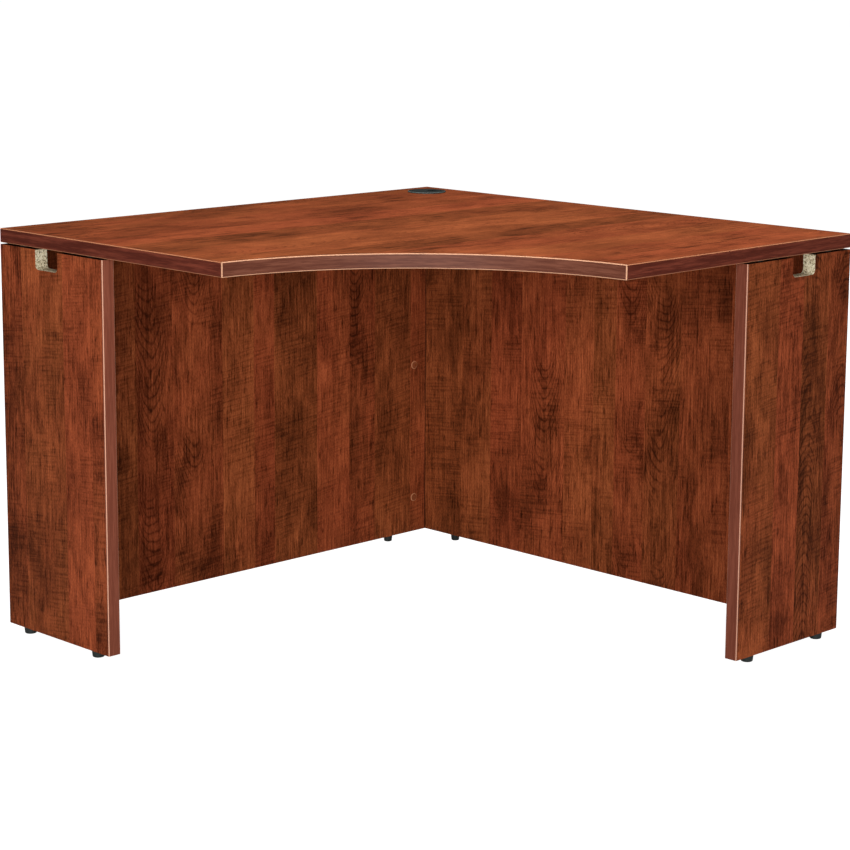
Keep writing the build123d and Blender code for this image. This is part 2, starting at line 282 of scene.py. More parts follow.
class Effect:
    """A shader node group that several finishes share, built once."""

    title: ClassVar[str]
    entries: ClassVar[dict[str, str]]
    results: ClassVar[dict[str, str]]

    @classmethod
    def wire(cls, graph: NodeGraph, given: bpy.types.NodeOutputs) -> dict[str, Signal]:
        """Build the group's nodes.

        Args:
            graph: the group's own tree.
            given: outputs of the group's input node, by name.

        Returns:
            The group's results, by name.
        """
        raise NotImplementedError

    @classmethod
    def tree(cls) -> bpy.types.NodeTree:
        """Give the group, building it the first time.

        Returns:
            The node group.
        """
        made = bpy.data.node_groups.get(cls.title)
        if made is None:
            made = bpy.data.node_groups.new(cls.title, "ShaderNodeTree")
            for name, kind in cls.entries.items():
                made.interface.new_socket(name, in_out="INPUT", socket_type="NodeSocket" + kind)
            for name, kind in cls.results.items():
                made.interface.new_socket(name, in_out="OUTPUT", socket_type="NodeSocket" + kind)
            graph = NodeGraph(made)
            given = made.nodes.new("NodeGroupInput")
            taken = made.nodes.new("NodeGroupOutput")
            for name, signal in cls.wire(graph, given.outputs).items():
                graph.feed(taken.inputs[name], signal)
        return made

    @classmethod
    def place(cls, graph: NodeGraph, **values: Signal) -> bpy.types.NodeOutputs:
        """Put the group in a tree.

        Args:
            graph: the tree of the material.
            values: the group's inputs, by name.

        Returns:
            The group's outputs.
        """
        node = graph.add("Group", node_tree=cls.tree())
        for name, value in values.items():
            graph.feed(node.inputs[name], value)
        return node.outputs


@dataclass(frozen=True)
class Grain:
    """A layer of noise drawn out along the grain.

    The first two sizes are waves per metre across and along the grain. The lean tilts the waves across it,
    and a whole layer runs on over the seams between the strips. A mask goes from 0 to 1 over the rise.
    """

    across: float
    along: float
    detail: float
    roughness: float = 0.55
    lean: float = 0.0
    whole: bool = False
    rise: tuple[float, float] = (0.0, 1.0)


class VeneerSheet:
    """A sheet of veneer strips: the place on it, and what each strip was dealt."""

    unevenness: ClassVar[float] = 0.9
    log_length: ClassVar[float] = 7.0
    leaves: ClassVar[float] = 40.0

    def __init__(self, graph: NodeGraph, across: Signal, along: Signal, strip_width: float) -> None:
        """Cut the sheet into strips, and deal each its tone, its place in the log and its arches.

        Args:
            graph: the tree to build in.
            across: place across the grain, in metres.
            along: place along the grain, in metres.
            strip_width: mean width of a strip, in metres.
        """
        self.graph = graph
        self.across = across
        self.along = along
        self.strip_width = strip_width
        strips = self.strips("F1")
        lots = graph.add("SeparateColor")
        graph.feed(lots.inputs[0], strips.outputs["Color"])
        self.tone_lot, self.cut_lot, self.arch_lot = lots.outputs
        self.off_middle = graph.math("SUBTRACT", across, strips.outputs["W"])
        self.run = graph.math("MULTIPLY_ADD", self.cut_lot, self.log_length, along)
        self.leaf = graph.math("MULTIPLY", self.tone_lot, self.leaves)

    def strips(self, feature: str) -> bpy.types.Node:
        """Cut the sheet into strips of uneven width.

        Args:
            feature: what the Voronoi node reads.

        Returns:
            The node.
        """
        node = self.graph.add("TexVoronoi", voronoi_dimensions="1D", feature=feature)
        self.graph.feed(node.inputs["W"], self.across)
        self.graph.feed(node.inputs["Scale"], 1.0 / self.strip_width)
        self.graph.feed(node.inputs["Randomness"], self.unevenness)
        return node

    def layer(self, grain: Grain, sway: Signal = 0.0) -> bpy.types.NodeSocket:
        """Read a layer of noise.

        Args:
            grain: the layer.
            sway: shift of its waves across the grain.

        Returns:
            The noise value, about 0.5.
        """
        graph = self.graph
        lengthwise = graph.math("MULTIPLY", self.along if grain.whole else self.run, grain.along)
        slanted = graph.math("MULTIPLY_ADD", self.across, grain.lean, lengthwise)
        sideways = graph.math("MULTIPLY_ADD", self.across, grain.across, sway)
        place = graph.vector(sideways, slanted, 0.0 if grain.whole else self.leaf)
        return graph.noise(place, grain.detail, grain.roughness)

    def mask(self, grain: Grain, sway: Signal = 0.0) -> bpy.types.NodeSocket:
        """Read a layer as a mask from 0 to 1."""
        return self.graph.step(self.layer(grain, sway), *grain.rise)


@dataclass(frozen=True)
class FigureShares:
    """How far each part of the figure lightens the print, or darkens it where it is negative."""

    strip: float = 0.14
    drift: float = 0.46
    dash: float = -1.0
    cloud: float = 0.60
    smoke: float = -0.16
    streak: float = 0.34
    fibre: float = 1.25
    grit: float = 0.60
    pore: float = -0.30
    ripple: float = -0.15
    arch: float = -0.24
    seam: float = 0.17


class CherryPrint(Effect):
    """The printed cherry figure of the laminate: strips of veneer, each with its own cut of grain."""

    title = "cherry_print"
    entries = {name: "Float" for name in ("Across", "Along", "Tone", "Brown", "Depth", "Dashes")}
    results = {"Colour": "Color", "Fibre": "Float"}

    strip_width: ClassVar[float] = 0.088
    middle: ClassVar[float] = 0.55
    shares: ClassVar[FigureShares] = FigureShares()
    sway: ClassVar[float] = 3.0
    calm: ClassVar[tuple[float, float]] = (1.05, 0.55)
    red_share: ClassVar[float] = 0.9
    hue_rise: ClassVar[tuple[float, float]] = (0.05, 0.95)

    arch_width: ClassVar[float] = 0.056
    arch_rise: ClassVar[tuple[float, float]] = (0.45, 0.58)
    arch_bow: ClassVar[float] = 8.0
    rings: ClassVar[float] = 48.0
    ring_wander: ClassVar[float] = 9.0
    ring_sharpness: ClassVar[float] = 6.0
    flame_pace: ClassVar[float] = 0.17
    flame_share: ClassVar[float] = 0.20
    seam_width: ClassVar[float] = 0.030

    sways: ClassVar[Grain] = Grain(9.0, 7.0, 3.0)
    drifts: ClassVar[Grain] = Grain(10.0, 5.0, 4.0, 0.60, whole=True)
    clouds: ClassVar[Grain] = Grain(17.0, 6.0, 4.0)
    smokes: ClassVar[Grain] = Grain(22.0, 7.0, 4.0, 0.58, rise=(0.56, 0.32))
    streaks: ClassVar[Grain] = Grain(90.0, 2.4, 3.0)
    dash_fields: ClassVar[Grain] = Grain(6.0, 4.0, 2.0, whole=True, rise=(0.42, 0.60))
    dashes: ClassVar[Grain] = Grain(125.0, 12.0, 3.0, 0.60, rise=(0.53, 0.34))
    pores: ClassVar[Grain] = Grain(310.0, 30.0, 2.0, rise=(0.57, 0.70))
    ripple_fields: ClassVar[Grain] = Grain(11.0, 8.0, 2.0, rise=(0.42, 0.58))
    ripples: ClassVar[Grain] = Grain(13.0, 250.0, 2.0, 0.5, lean=-28.0, rise=(0.56, 0.36))
    fibres: ClassVar[Grain] = Grain(480.0, 16.0, 3.0, 0.65)
    grits: ClassVar[Grain] = Grain(620.0, 210.0, 1.0)
    ring_drifts: ClassVar[Grain] = Grain(9.0, 3.0, 3.0, 0.45)
    arch_fields: ClassVar[Grain] = Grain(9.0, 4.0, 2.0, rise=(0.46, 0.60))
    seam_breaks: ClassVar[Grain] = Grain(0.0, 5.0, 2.0, rise=(0.42, 0.62))
    hue_drifts: ClassVar[Grain] = Grain(9.0, 5.0, 3.0)

    red_cuts: ClassVar[Sequence[tuple[float, Colour]]] = (
        (0.00, (0.054, 0.0104, 0.0036)),
        (0.28, (0.168, 0.0336, 0.0120)),
        (0.52, (0.330, 0.0680, 0.0248)),
        (0.76, (0.520, 0.1135, 0.0412)),
        (1.00, (0.690, 0.1660, 0.0620)),
    )
    brown_cuts: ClassVar[Sequence[tuple[float, Colour]]] = (
        (0.00, (0.044, 0.0108, 0.0035)),
        (0.28, (0.137, 0.0340, 0.0107)),
        (0.52, (0.280, 0.0700, 0.0220)),
        (0.76, (0.460, 0.1210, 0.0392)),
        (1.00, (0.655, 0.1800, 0.0600)),
    )

    @classmethod
    def arches(cls, graph: NodeGraph, sheet: VeneerSheet) -> bpy.types.NodeSocket:
        """Draw the arched rings of the strips that were sawn flat.

        Args:
            graph: the group's own tree.
            sheet: the strips.

        Returns:
            The arches, from 0 to about 1.
        """
        reach = graph.math("ABSOLUTE", graph.math("DIVIDE", sheet.off_middle, cls.arch_width))
        way_up = graph.math("SIGN", graph.lean(sheet.cut_lot, 1.0))
        bow = graph.math("MULTIPLY", graph.math("POWER", reach, 2.0), way_up)
        climb = graph.math("MULTIPLY", sheet.run, cls.rings)
        wander = graph.lean(sheet.layer(cls.ring_drifts), cls.ring_wander)
        count = graph.total([climb, graph.math("MULTIPLY", bow, cls.arch_bow), wander])
        turn = graph.math("MULTIPLY", count, tau)
        wave = graph.between(graph.math("SINE", turn), 0.5, 1.0)
        ring = graph.math("POWER", wave, cls.ring_sharpness)
        flame = graph.math("SINE", graph.math("MULTIPLY", turn, cls.flame_pace))
        sawn_flat = graph.step(sheet.arch_lot, *cls.arch_rise)
        arched = graph.math("MULTIPLY", sawn_flat, sheet.mask(cls.arch_fields))
        return graph.math("MULTIPLY", arched, graph.math("MULTIPLY_ADD", flame, cls.flame_share, ring))

    @classmethod
    def seams(cls, graph: NodeGraph, sheet: VeneerSheet) -> bpy.types.NodeSocket:
        """Draw the pale seam on one edge of each strip, broken along its length.

        Args:
            graph: the group's own tree.
            sheet: the strips.

        Returns:
            The seams, from 0 to 1.
        """
        seam = graph.step(sheet.strips("DISTANCE_TO_EDGE").outputs["Distance"], cls.seam_width, 0.0)
        one_edge = graph.math("MULTIPLY", seam, graph.math("LESS_THAN", sheet.off_middle, 0.0))
        return graph.math("MULTIPLY", one_edge, sheet.mask(cls.seam_breaks))

    @classmethod
    def wire(cls, graph: NodeGraph, given: bpy.types.NodeOutputs) -> dict[str, Signal]:
        """Build the figure from broad to fine.

        Args:
            graph: the group's own tree.
            given: place across and along the grain in metres, the board's tone and its lean towards brown,
                and how deep the fine figure and the dark dashes are.

        Returns:
            The colour, and the height of the fibres.
        """
        sheet = VeneerSheet(graph, given["Across"], given["Along"], cls.strip_width)
        shares = cls.shares
        sway = graph.lean(sheet.layer(cls.sways), cls.sway)
        dash = graph.math("MULTIPLY", sheet.mask(cls.dashes), sheet.mask(cls.dash_fields))
        rippled = sheet.mask(cls.ripple_fields)
        ripple = graph.math("MULTIPLY", sheet.mask(cls.ripples), shares.ripple)
        fibre = sheet.layer(cls.fibres)
        broad = graph.total(
            [
                graph.lean(sheet.tone_lot, shares.strip),
                graph.lean(sheet.layer(cls.drifts), shares.drift),
                graph.math("MULTIPLY", dash, graph.math("MULTIPLY", given["Dashes"], shares.dash)),
            ]
        )
        fine = graph.total(
            [
                graph.lean(sheet.layer(cls.clouds, sway), shares.cloud),
                graph.math("MULTIPLY", sheet.mask(cls.smokes, sway), shares.smoke),
                graph.lean(sheet.layer(cls.streaks), shares.streak),
                graph.math("MULTIPLY", graph.lean(fibre, shares.fibre), graph.between(rippled, *cls.calm)),
                graph.lean(sheet.layer(cls.grits), shares.grit),
                graph.math("MULTIPLY", sheet.mask(cls.pores), shares.pore),
                graph.math("MULTIPLY", ripple, rippled),
                graph.math("MULTIPLY", cls.arches(graph, sheet), shares.arch),
                graph.math("MULTIPLY", cls.seams(graph, sheet), shares.seam),
            ]
        )
        level = graph.total([broad, given["Tone"], cls.middle])
        figure = graph.math("MULTIPLY_ADD", fine, given["Depth"], level)
        hue = graph.total(
            [graph.lean(sheet.cut_lot, cls.red_share), sheet.layer(cls.hue_drifts), given["Brown"]]
        )
        cuts = [graph.ramp(figure, stops) for stops in (cls.red_cuts, cls.brown_cuts)]
        return {"Colour": graph.mix(graph.step(hue, *cls.hue_rise), *cuts), "Fibre": fibre}


class ChipboardCore(Effect):
    """Sawn particleboard: pale flakes, darker bark and small holes."""

    title = "chipboard_core"
    entries = {"Place": "Vector"}
    results = {"Colour": "Color", "Height": "Float"}

    flakes: ClassVar[Sequence[float]] = (360.0, 360.0, 420.0)
    grit: ClassVar[Sequence[float]] = (520.0, 520.0, 520.0)
    flake_share: ClassVar[float] = 0.62
    grit_share: ClassVar[float] = 1.8
    darkest: ClassVar[float] = 0.24
    chips: ClassVar[Sequence[tuple[float, Colour]]] = (
        (0.00, (0.050, 0.036, 0.018)),
        (0.22, (0.180, 0.135, 0.075)),
        (0.38, (0.560, 0.470, 0.300)),
        (0.70, (0.780, 0.700, 0.490)),
        (1.00, (0.900, 0.850, 0.670)),
    )

    @classmethod
    def wire(cls, graph: NodeGraph, given: bpy.types.NodeOutputs) -> dict[str, Signal]:
        """Build the flakes and the holes between them.

        Args:
            graph: the group's own tree.
            given: place on the piece, in metres.

        Returns:
            The colour and the height.
        """
        flakes = graph.add("TexVoronoi", voronoi_dimensions="3D", feature="F1")
        graph.feed(flakes.inputs["Vector"], graph.stretched(given["Place"], cls.flakes))
        graph.feed(flakes.inputs["Scale"], 1.0)
        lots = graph.add("SeparateColor")
        graph.feed(lots.inputs[0], flakes.outputs["Color"])
        grit = graph.noise(graph.stretched(given["Place"], cls.grit), 3.0, 0.6)
        flake = graph.math("MULTIPLY", lots.outputs[0], cls.flake_share)
        tone = graph.total([flake, graph.lean(grit, cls.grit_share), cls.darkest])
        return {"Colour": graph.ramp(tone, cls.chips), "Height": tone}


class MouldedSkin(Effect):
    """Skin of a plastic moulding: a fine even grain with faint clouds of gloss."""

    title = "moulded_skin"
    entries = {"Place": "Vector", "Grain": "Float"}
    results = {"Height": "Float", "Gloss": "Float"}

    clouds: ClassVar[Sequence[float]] = (60.0, 60.0, 60.0)
    cloud_rise: ClassVar[tuple[float, float]] = (0.3, 0.7)

    @classmethod
    def wire(cls, graph: NodeGraph, given: bpy.types.NodeOutputs) -> dict[str, Signal]:
        """Build the grain and the clouds.

        Args:
            graph: the group's own tree.
            given: place on the piece in metres, and the grain's waves per metre.

        Returns:
            The height of the grain and the gloss, both from 0 to 1.
        """
        fine = graph.add("VectorMath", operation="SCALE")
        graph.feed(fine.inputs[0], given["Place"])
        graph.feed(fine.inputs["Scale"], given["Grain"])
        clouds = graph.noise(graph.stretched(given["Place"], cls.clouds), 2.0)
        gloss = graph.step(clouds, *cls.cloud_rise)
        return {"Height": graph.noise(fine.outputs[0], 2.0), "Gloss": gloss}


class DrawnLines(Effect):
    """Fine lines left along a strip or rod that was drawn or extruded."""

    title = "drawn_lines"
    entries = {"Place": "Vector"}
    results = {"Line": "Float", "Broad": "Float", "Dash": "Float"}

    broad: ClassVar[Sequence[float]] = (0.22, 0.22, 0.22)
    short: ClassVar[Sequence[float]] = (0.6, 0.6, 0.6)
    dash_rise: ClassVar[tuple[float, float]] = (0.50, 0.66)

    @classmethod
    def wire(cls, graph: NodeGraph, given: bpy.types.NodeOutputs) -> dict[str, Signal]:
        """Build fine lines, broader bands and short dashes in the same run.

        Args:
            graph: the group's own tree.
            given: place on the piece, scaled up across the lines.

        Returns:
            The fine lines and the broad bands, both about 0.5, and the dashes from 0 to 1.
        """
        broad = graph.noise(graph.stretched(given["Place"], cls.broad), 2.0)
        short = graph.noise(graph.stretched(given["Place"], cls.short), 3.0, 0.6)
        line = graph.noise(given["Place"], 2.0, 0.6)
        return {"Line": line, "Broad": broad, "Dash": graph.step(short, *cls.dash_rise)}


class BoardLay(Enum):
    """How a board lies: its axes across the grain, along the grain and out of its two faces."""

    FLAT = ("X", "Y", "Z")
    FACING_X = ("Y", "Z", "X")
    FACING_Y = ("X", "Z", "Y")


class Run(Enum):
    """The way that the lines of a band or rod run, as scales along X, Y and Z."""

    LEVEL = (38.0, 38.0, 900.0)
    UPRIGHT = (900.0, 900.0, 38.0)


@dataclass(frozen=True)
class Finish:
    """A finish, made once as a material and shared by every piece that has it."""

    name: str

    def wire(self, graph: NodeGraph, shader: bpy.types.Node) -> None:
        """Build the material's nodes.

        Args:
            graph: the material's tree.
            shader: its Principled shader.
        """
        raise NotImplementedError

    def material(self) -> bpy.types.Material:
        """Give the material, making it the first time.

        Returns:
            The material.
        """
        made = bpy.data.materials.get(self.name)
        if made is None:
            made = bpy.data.materials.new(self.name)
            made.use_nodes = True
            self.wire(NodeGraph(made.node_tree), made.node_tree.nodes["Principled BSDF"])
        return made


@dataclass(frozen=True)
class Laminate(Finish):
    """Cherry laminate on the faces of a particleboard, with the bare core on its cut edges."""

    lay: BoardLay
    cut_from: tuple[float, float] = (0.0, 0.0)
    tone: float = 0.0
    brown: float = 0.0
    depth: float = 1.0
    dashes: float = 0.05
    gloss: float = 0.035
    # Painted shade: the cut edges above the first height below are darkened to near black for the shade in
    # the reveal under the worktop, and a strip of the face is darkened for the shade in the inner corner.
    reveal_shade_from: float = 0.7072
    painted_shade: Colour = (0.020, 0.009, 0.006)
    reveal_shade_blur: float = 0.0005
    corner_shade_from: Optional[float] = None
    corner_shade_share: float = 0.8
    corner_shade_blur: float = 0.001
    sheen: tuple[float, float] = (0.36, 0.52)
    core_dull: float = 0.40
    relief: float = 0.00012
    relief_share: float = 0.35

    def wire(self, graph: NodeGraph, shader: bpy.types.Node) -> None:
        """Lay the print on the faces and the core on the cut edges, and paint shade on the upper edge in
        the reveal under the worktop and along the inner corner.

        Args:
            graph: the material's tree.
            shader: its Principled shader.
        """
        place = graph.object_place()
        axes = graph.add("SeparateXYZ")
        graph.feed(axes.inputs[0], place)
        across_axis, along_axis, face_axis = self.lay.value
        cherry = CherryPrint.place(
            graph,
            Across=graph.math("ADD", axes.outputs[across_axis], self.cut_from[0]),
            Along=graph.math("ADD", axes.outputs[along_axis], self.cut_from[1]),
            Tone=self.tone,
            Brown=self.brown,
            Depth=self.depth,
            Dashes=self.dashes,
        )
        printed = cherry["Colour"]
        # Painted shade: a strip of the print along the inner corner is mixed towards the near-black
        # colour, for the shade of the joint.
        if self.corner_shade_from is not None:
            corner_shade_full = self.corner_shade_from + self.corner_shade_blur
            joint = graph.step(axes.outputs[across_axis], self.corner_shade_from, corner_shade_full)
            printed = graph.mix(graph.math("MULTIPLY", joint, self.corner_shade_share), printed, self.painted_shade)
        core = ChipboardCore.place(graph, Place=place)
        # Painted shade: the upper cut edge, in the reveal under the worktop, is mixed towards the
        # near-black colour.
        reveal_shaded = graph.step(axes.outputs["Z"], self.reveal_shade_from, self.reveal_shade_from + self.reveal_shade_blur)
        edge = graph.mix(reveal_shaded, core["Colour"], self.painted_shade)

        facing = graph.add("SeparateXYZ")
        graph.feed(facing.inputs[0], graph.add("TexCoord").outputs["Normal"])
        covered = graph.math("GREATER_THAN", graph.math("ABSOLUTE", facing.outputs[face_axis]), 0.5)
        bare = graph.math("SUBTRACT", 1.0, covered)

        graph.feed(shader.inputs["Base Color"], graph.mix(covered, edge, printed))
        sheen = graph.between(cherry["Fibre"], *self.sheen)
        graph.feed(shader.inputs["Roughness"], graph.math("MULTIPLY_ADD", bare, self.core_dull, sheen))
        height = graph.math("ADD", cherry["Fibre"], graph.math("MULTIPLY", bare, core["Height"]))
        graph.feed(shader.inputs["Normal"], graph.bump(height, self.relief, self.relief_share))
        graph.feed(shader.inputs["Specular IOR Level"], self.gloss)


@dataclass(frozen=True)
class BandPlastic(Finish):
    """Extruded edge band, paler on its rounded arrises, where the plastic was scraped and where a
    highlight is painted.
    """

    colour: Colour
    shade: Colour
    # Colour of the rounded arrises: paler scraped plastic together with a painted highlight.
    arris: Colour
    run: Run
    streak_share: float = 0.8
    streak_rise: tuple[float, float] = (0.30, 0.70)
    gloss: tuple[float, float] = (0.34, 0.50)
    relief: float = 0.00008
    relief_share: float = 0.25
    specular: float = 0.14

    def wire(self, graph: NodeGraph, shader: bpy.types.Node) -> None:
        """Draw the lines along the band and lighten its arrises, scraped plastic with a painted highlight.

        Args:
            graph: the material's tree.
            shader: its Principled shader.
        """
        lines = DrawnLines.place(graph, Place=graph.stretched(graph.object_place(), self.run.value))
        drawn = graph.total([graph.lean(lines["Line"], self.streak_share), lines["Broad"]])
        streak = graph.step(drawn, *self.streak_rise)
        body = graph.mix(lines["Dash"], graph.mix(streak, self.shade, self.colour), self.shade)
        # Rounded arrises take the paler colour: scraped plastic and a painted highlight.
        scraped_and_highlit = graph.add("Attribute", attribute_name=ARRIS).outputs["Fac"]
        graph.feed(shader.inputs["Base Color"], graph.mix(scraped_and_highlit, body, self.arris))
        graph.feed(shader.inputs["Roughness"], graph.between(lines["Line"], *self.gloss))
        graph.feed(shader.inputs["Normal"], graph.bump(lines["Line"], self.relief, self.relief_share))
        graph.feed(shader.inputs["Specular IOR Level"], self.specular)


@dataclass(frozen=True)
class Moulding(Finish):
    """Moulded plastic with a fine grain."""

    colour: Colour
    bright: Colour
    gloss: tuple[float, float]
    specular: float = 0.5
    grain: float = 2600.0
    # Colour of the marked rim: a painted highlight.
    rim: Optional[Colour] = None
    relief: float = 0.00006
    relief_share: float = 0.5

    def wire(self, graph: NodeGraph, shader: bpy.types.Node) -> None:
        """Vary the colour and the gloss a little, raise the grain and lighten the marked rim, a painted
        highlight.

        Args:
            graph: the material's tree.
            shader: its Principled shader.
        """
        skin = MouldedSkin.place(graph, Place=graph.object_place(), Grain=self.grain)
        body = graph.mix(skin["Height"], self.colour, self.bright)
        if self.rim:
            # Painted highlight on the marked rim faces.
            highlight_rim = graph.add("Attribute", attribute_name=ARRIS).outputs["Fac"]
            body = graph.mix(highlight_rim, body, self.rim)
        graph.feed(shader.inputs["Base Color"], body)
        graph.feed(shader.inputs["Roughness"], graph.between(skin["Gloss"], *self.gloss))
        graph.feed(shader.inputs["Normal"], graph.bump(skin["Height"], self.relief, self.relief_share))
        graph.feed(shader.inputs["Specular IOR Level"], self.specular)


@dataclass(frozen=True)
class Metal(Finish):
    """Plated or cast metal with drawn lines and dull patches."""

    colour: Colour
    dull: Colour
    gloss: tuple[float, float]
    run: Run = Run.UPRIGHT
    patch_rise: tuple[float, float] = (0.35, 0.65)
    relief: float = 0.00004
    relief_share: float = 0.3

    def wire(self, graph: NodeGraph, shader: bpy.types.Node) -> None:
        """Draw the lines and the patches.

        Args:
            graph: the material's tree.
            shader: its Principled shader.
        """
        lines = DrawnLines.place(graph, Place=graph.stretched(graph.object_place(), self.run.value))
        patches = graph.step(lines["Broad"], *self.patch_rise)
        graph.feed(shader.inputs["Base Color"], graph.mix(patches, self.dull, self.colour))
        graph.feed(shader.inputs["Roughness"], graph.between(lines["Line"], *self.gloss))
        graph.feed(shader.inputs["Metallic"], 1.0)
        graph.feed(shader.inputs["Normal"], graph.bump(lines["Line"], self.relief, self.relief_share))


@dataclass(frozen=True)
class BareBeech(Finish):
    """Turned beech with short dark flecks."""

    colour: Colour
    fleck: Colour
    grain: Sequence[float] = (300.0, 300.0, 900.0)
    fleck_rise: tuple[float, float] = (0.55, 0.72)
    gloss: tuple[float, float] = (0.55, 0.75)
    relief: float = 0.0001
    relief_share: float = 0.3

    def wire(self, graph: NodeGraph, shader: bpy.types.Node) -> None:
        """Scatter the flecks over the wood.

        Args:
            graph: the material's tree.
            shader: its Principled shader.
        """
        grain = graph.noise(graph.stretched(graph.object_place(), self.grain), 3.0, 0.6)
        flecks = graph.step(grain, *self.fleck_rise)
        graph.feed(shader.inputs["Base Color"], graph.mix(flecks, self.colour, self.fleck))
        graph.feed(shader.inputs["Roughness"], graph.between(grain, *self.gloss))
        graph.feed(shader.inputs["Normal"], graph.bump(grain, self.relief, self.relief_share))


@dataclass(frozen=True)
class PaleFloor(Finish):
    """Matt pale studio floor, lifted to white where the camera sees it, and clear from below."""

    colour: Colour
    shade: Colour
    lift: Colour
    clouds: Sequence[float] = (1.3, 1.3, 1.3)
    roughness: float = 0.9

    def wire(self, graph: NodeGraph, shader: bpy.types.Node) -> None:
        """Cloud the floor very faintly, lift it for the camera alone and open it from below.

        Args:
            graph: the material's tree.
            shader: its Principled shader.
        """
        clouds = graph.noise(graph.stretched(graph.object_place(), self.clouds), 3.0)
        graph.feed(shader.inputs["Base Color"], graph.mix(clouds, self.shade, self.colour))
        graph.feed(shader.inputs["Roughness"], self.roughness)
        graph.feed(shader.inputs["Specular IOR Level"], 0.0)
        seen = graph.add("LightPath").outputs["Is Camera Ray"]
        graph.feed(shader.inputs["Emission Color"], graph.mix(seen, (0.0, 0.0, 0.0), self.lift))
        graph.feed(shader.inputs["Emission Strength"], 1.0)
        underside = graph.add("NewGeometry").outputs["Backfacing"]
        graph.feed(shader.inputs["Alpha"], graph.math("SUBTRACT", 1.0, underside))


# Painted light: the boards' tones differ to even out their lighting; the back panels, in the worktop's
# shade, are set lighter and the end panels darker.
WORKTOP_LAMINATE = Laminate(
    "worktop_laminate",
    BoardLay.FLAT,
    cut_from=(0.26, 3.82),
    tone=0.02,
    brown=0.2,
    depth=0.5,
    dashes=0.25,
    gloss=0.05,
    reveal_shade_from=9.0,
)
LEFT_END_LAMINATE = Laminate(
    "left_end_laminate",
    BoardLay.FACING_Y,
    cut_from=(5.47, 4.61),
    tone=-0.025,
    brown=-0.25,
)
RIGHT_END_LAMINATE = Laminate(
    "right_end_laminate",
    BoardLay.FACING_X,
    cut_from=(11.82, 3.25),
    tone=-0.06,
    brown=-0.25,
)
LEFT_BACK_LAMINATE = Laminate(
    "left_back_laminate",
    BoardLay.FACING_X,
    cut_from=(5.50, 2.30),
    tone=0.035,
    brown=0.2,
    # Painted shade along the inner corner, on the last 2.8 mm of the board.
    corner_shade_from=0.5126,
)
RIGHT_BACK_LAMINATE = Laminate(
    "right_back_laminate",
    BoardLay.FACING_Y,
    cut_from=(9.65, 2.60),
    tone=0.045,
    brown=0.2,
)
# The arris colours of the bands below hold scraped plastic and a painted highlight.
FRONT_BAND = BandPlastic(
    "front_band_plastic",
    colour=(0.220, 0.075, 0.044),
    shade=(0.130, 0.038, 0.022),
    arris=(0.800, 0.420, 0.250),
    run=Run.LEVEL,
)
LEFT_UPRIGHT_BAND = BandPlastic(
    "left_upright_band_plastic",
    colour=(0.330, 0.098, 0.056),
    shade=(0.235, 0.064, 0.036),
    arris=(0.800, 0.420, 0.280),
    run=Run.UPRIGHT,
)
RIGHT_UPRIGHT_BAND = BandPlastic(
    "right_upright_band_plastic",
    colour=(0.270, 0.078, 0.045),
    shade=(0.190, 0.050, 0.028),
    arris=(0.700, 0.360, 0.240),
    run=Run.UPRIGHT,
)
RETURN_BAND = BandPlastic(
    "return_band_plastic",
    colour=(0.235, 0.052, 0.029),
    shade=(0.110, 0.021, 0.012),
    arris=(0.560, 0.220, 0.105),
    run=Run.LEVEL,
)
WALL_BAND = BandPlastic(
    "wall_band_plastic",
    colour=(0.215, 0.046, 0.026),
    shade=(0.120, 0.023, 0.013),
    arris=(0.420, 0.150, 0.070),
    run=Run.UPRIGHT,
)
GROMMET_PLASTIC = Moulding(
    "grommet_moulding",
    colour=(0.016, 0.019, 0.018),
    bright=(0.034, 0.042, 0.039),
    gloss=(0.48, 0.60),
    specular=0.2,
    # Painted highlight on the flange's rounded edge.
    rim=(0.125, 0.155, 0.145),
)
GLIDE_PLASTIC = Moulding("glide_moulding", (0.014, 0.018, 0.017), (0.036, 0.047, 0.044), (0.30, 0.46))
COVER_PLASTIC = Moulding(
    "cover_moulding",
    colour=(0.255, 0.068, 0.024),
    bright=(0.330, 0.092, 0.034),
    gloss=(0.24, 0.34),
    # Painted highlight on the covers' rims.
    rim=(0.620, 0.265, 0.125),
)
ZINC = Metal("cast_zinc", (0.50, 0.50, 0.49), (0.38, 0.38, 0.38), (0.38, 0.55))
STEEL = Metal("plated_steel_rod", (0.62, 0.61, 0.58), (0.50, 0.49, 0.46), (0.22, 0.40))
BEECH = BareBeech("bare_beech", (0.56, 0.39, 0.23), (0.33, 0.19, 0.10))
FLOOR = PaleFloor("pale_floor", (0.37, 0.37, 0.37), (0.35, 0.35, 0.35), lift=(0.985, 0.985, 0.985))


class Side(Enum):
    """The two returns of the desk: the right one is the left one mirrored over the diagonal."""

    LEFT = "left"
    RIGHT = "right"

    def turn(self) -> Matrix:
        """Give the transform from the left return to this one.

        Returns:
            The transform.
        """
        if self is Side.LEFT:
            return Matrix.Identity(4)
        return Matrix(((0, -1, 0, 0), (-1, 0, 0, 0), (0, 0, 1, 0), (0, 0, 0, 1)))


def dress(node: str, finish: Finish) -> None:
    """Give a CAD node its finish.

    Args:
        node: the node's name.
        finish: the finish to put on it.
    """
    materials = frame["nodes"][node].data.materials
    materials.clear()
    materials.append(finish.material())
    log.info("dressed %s in %s", node, finish.name)


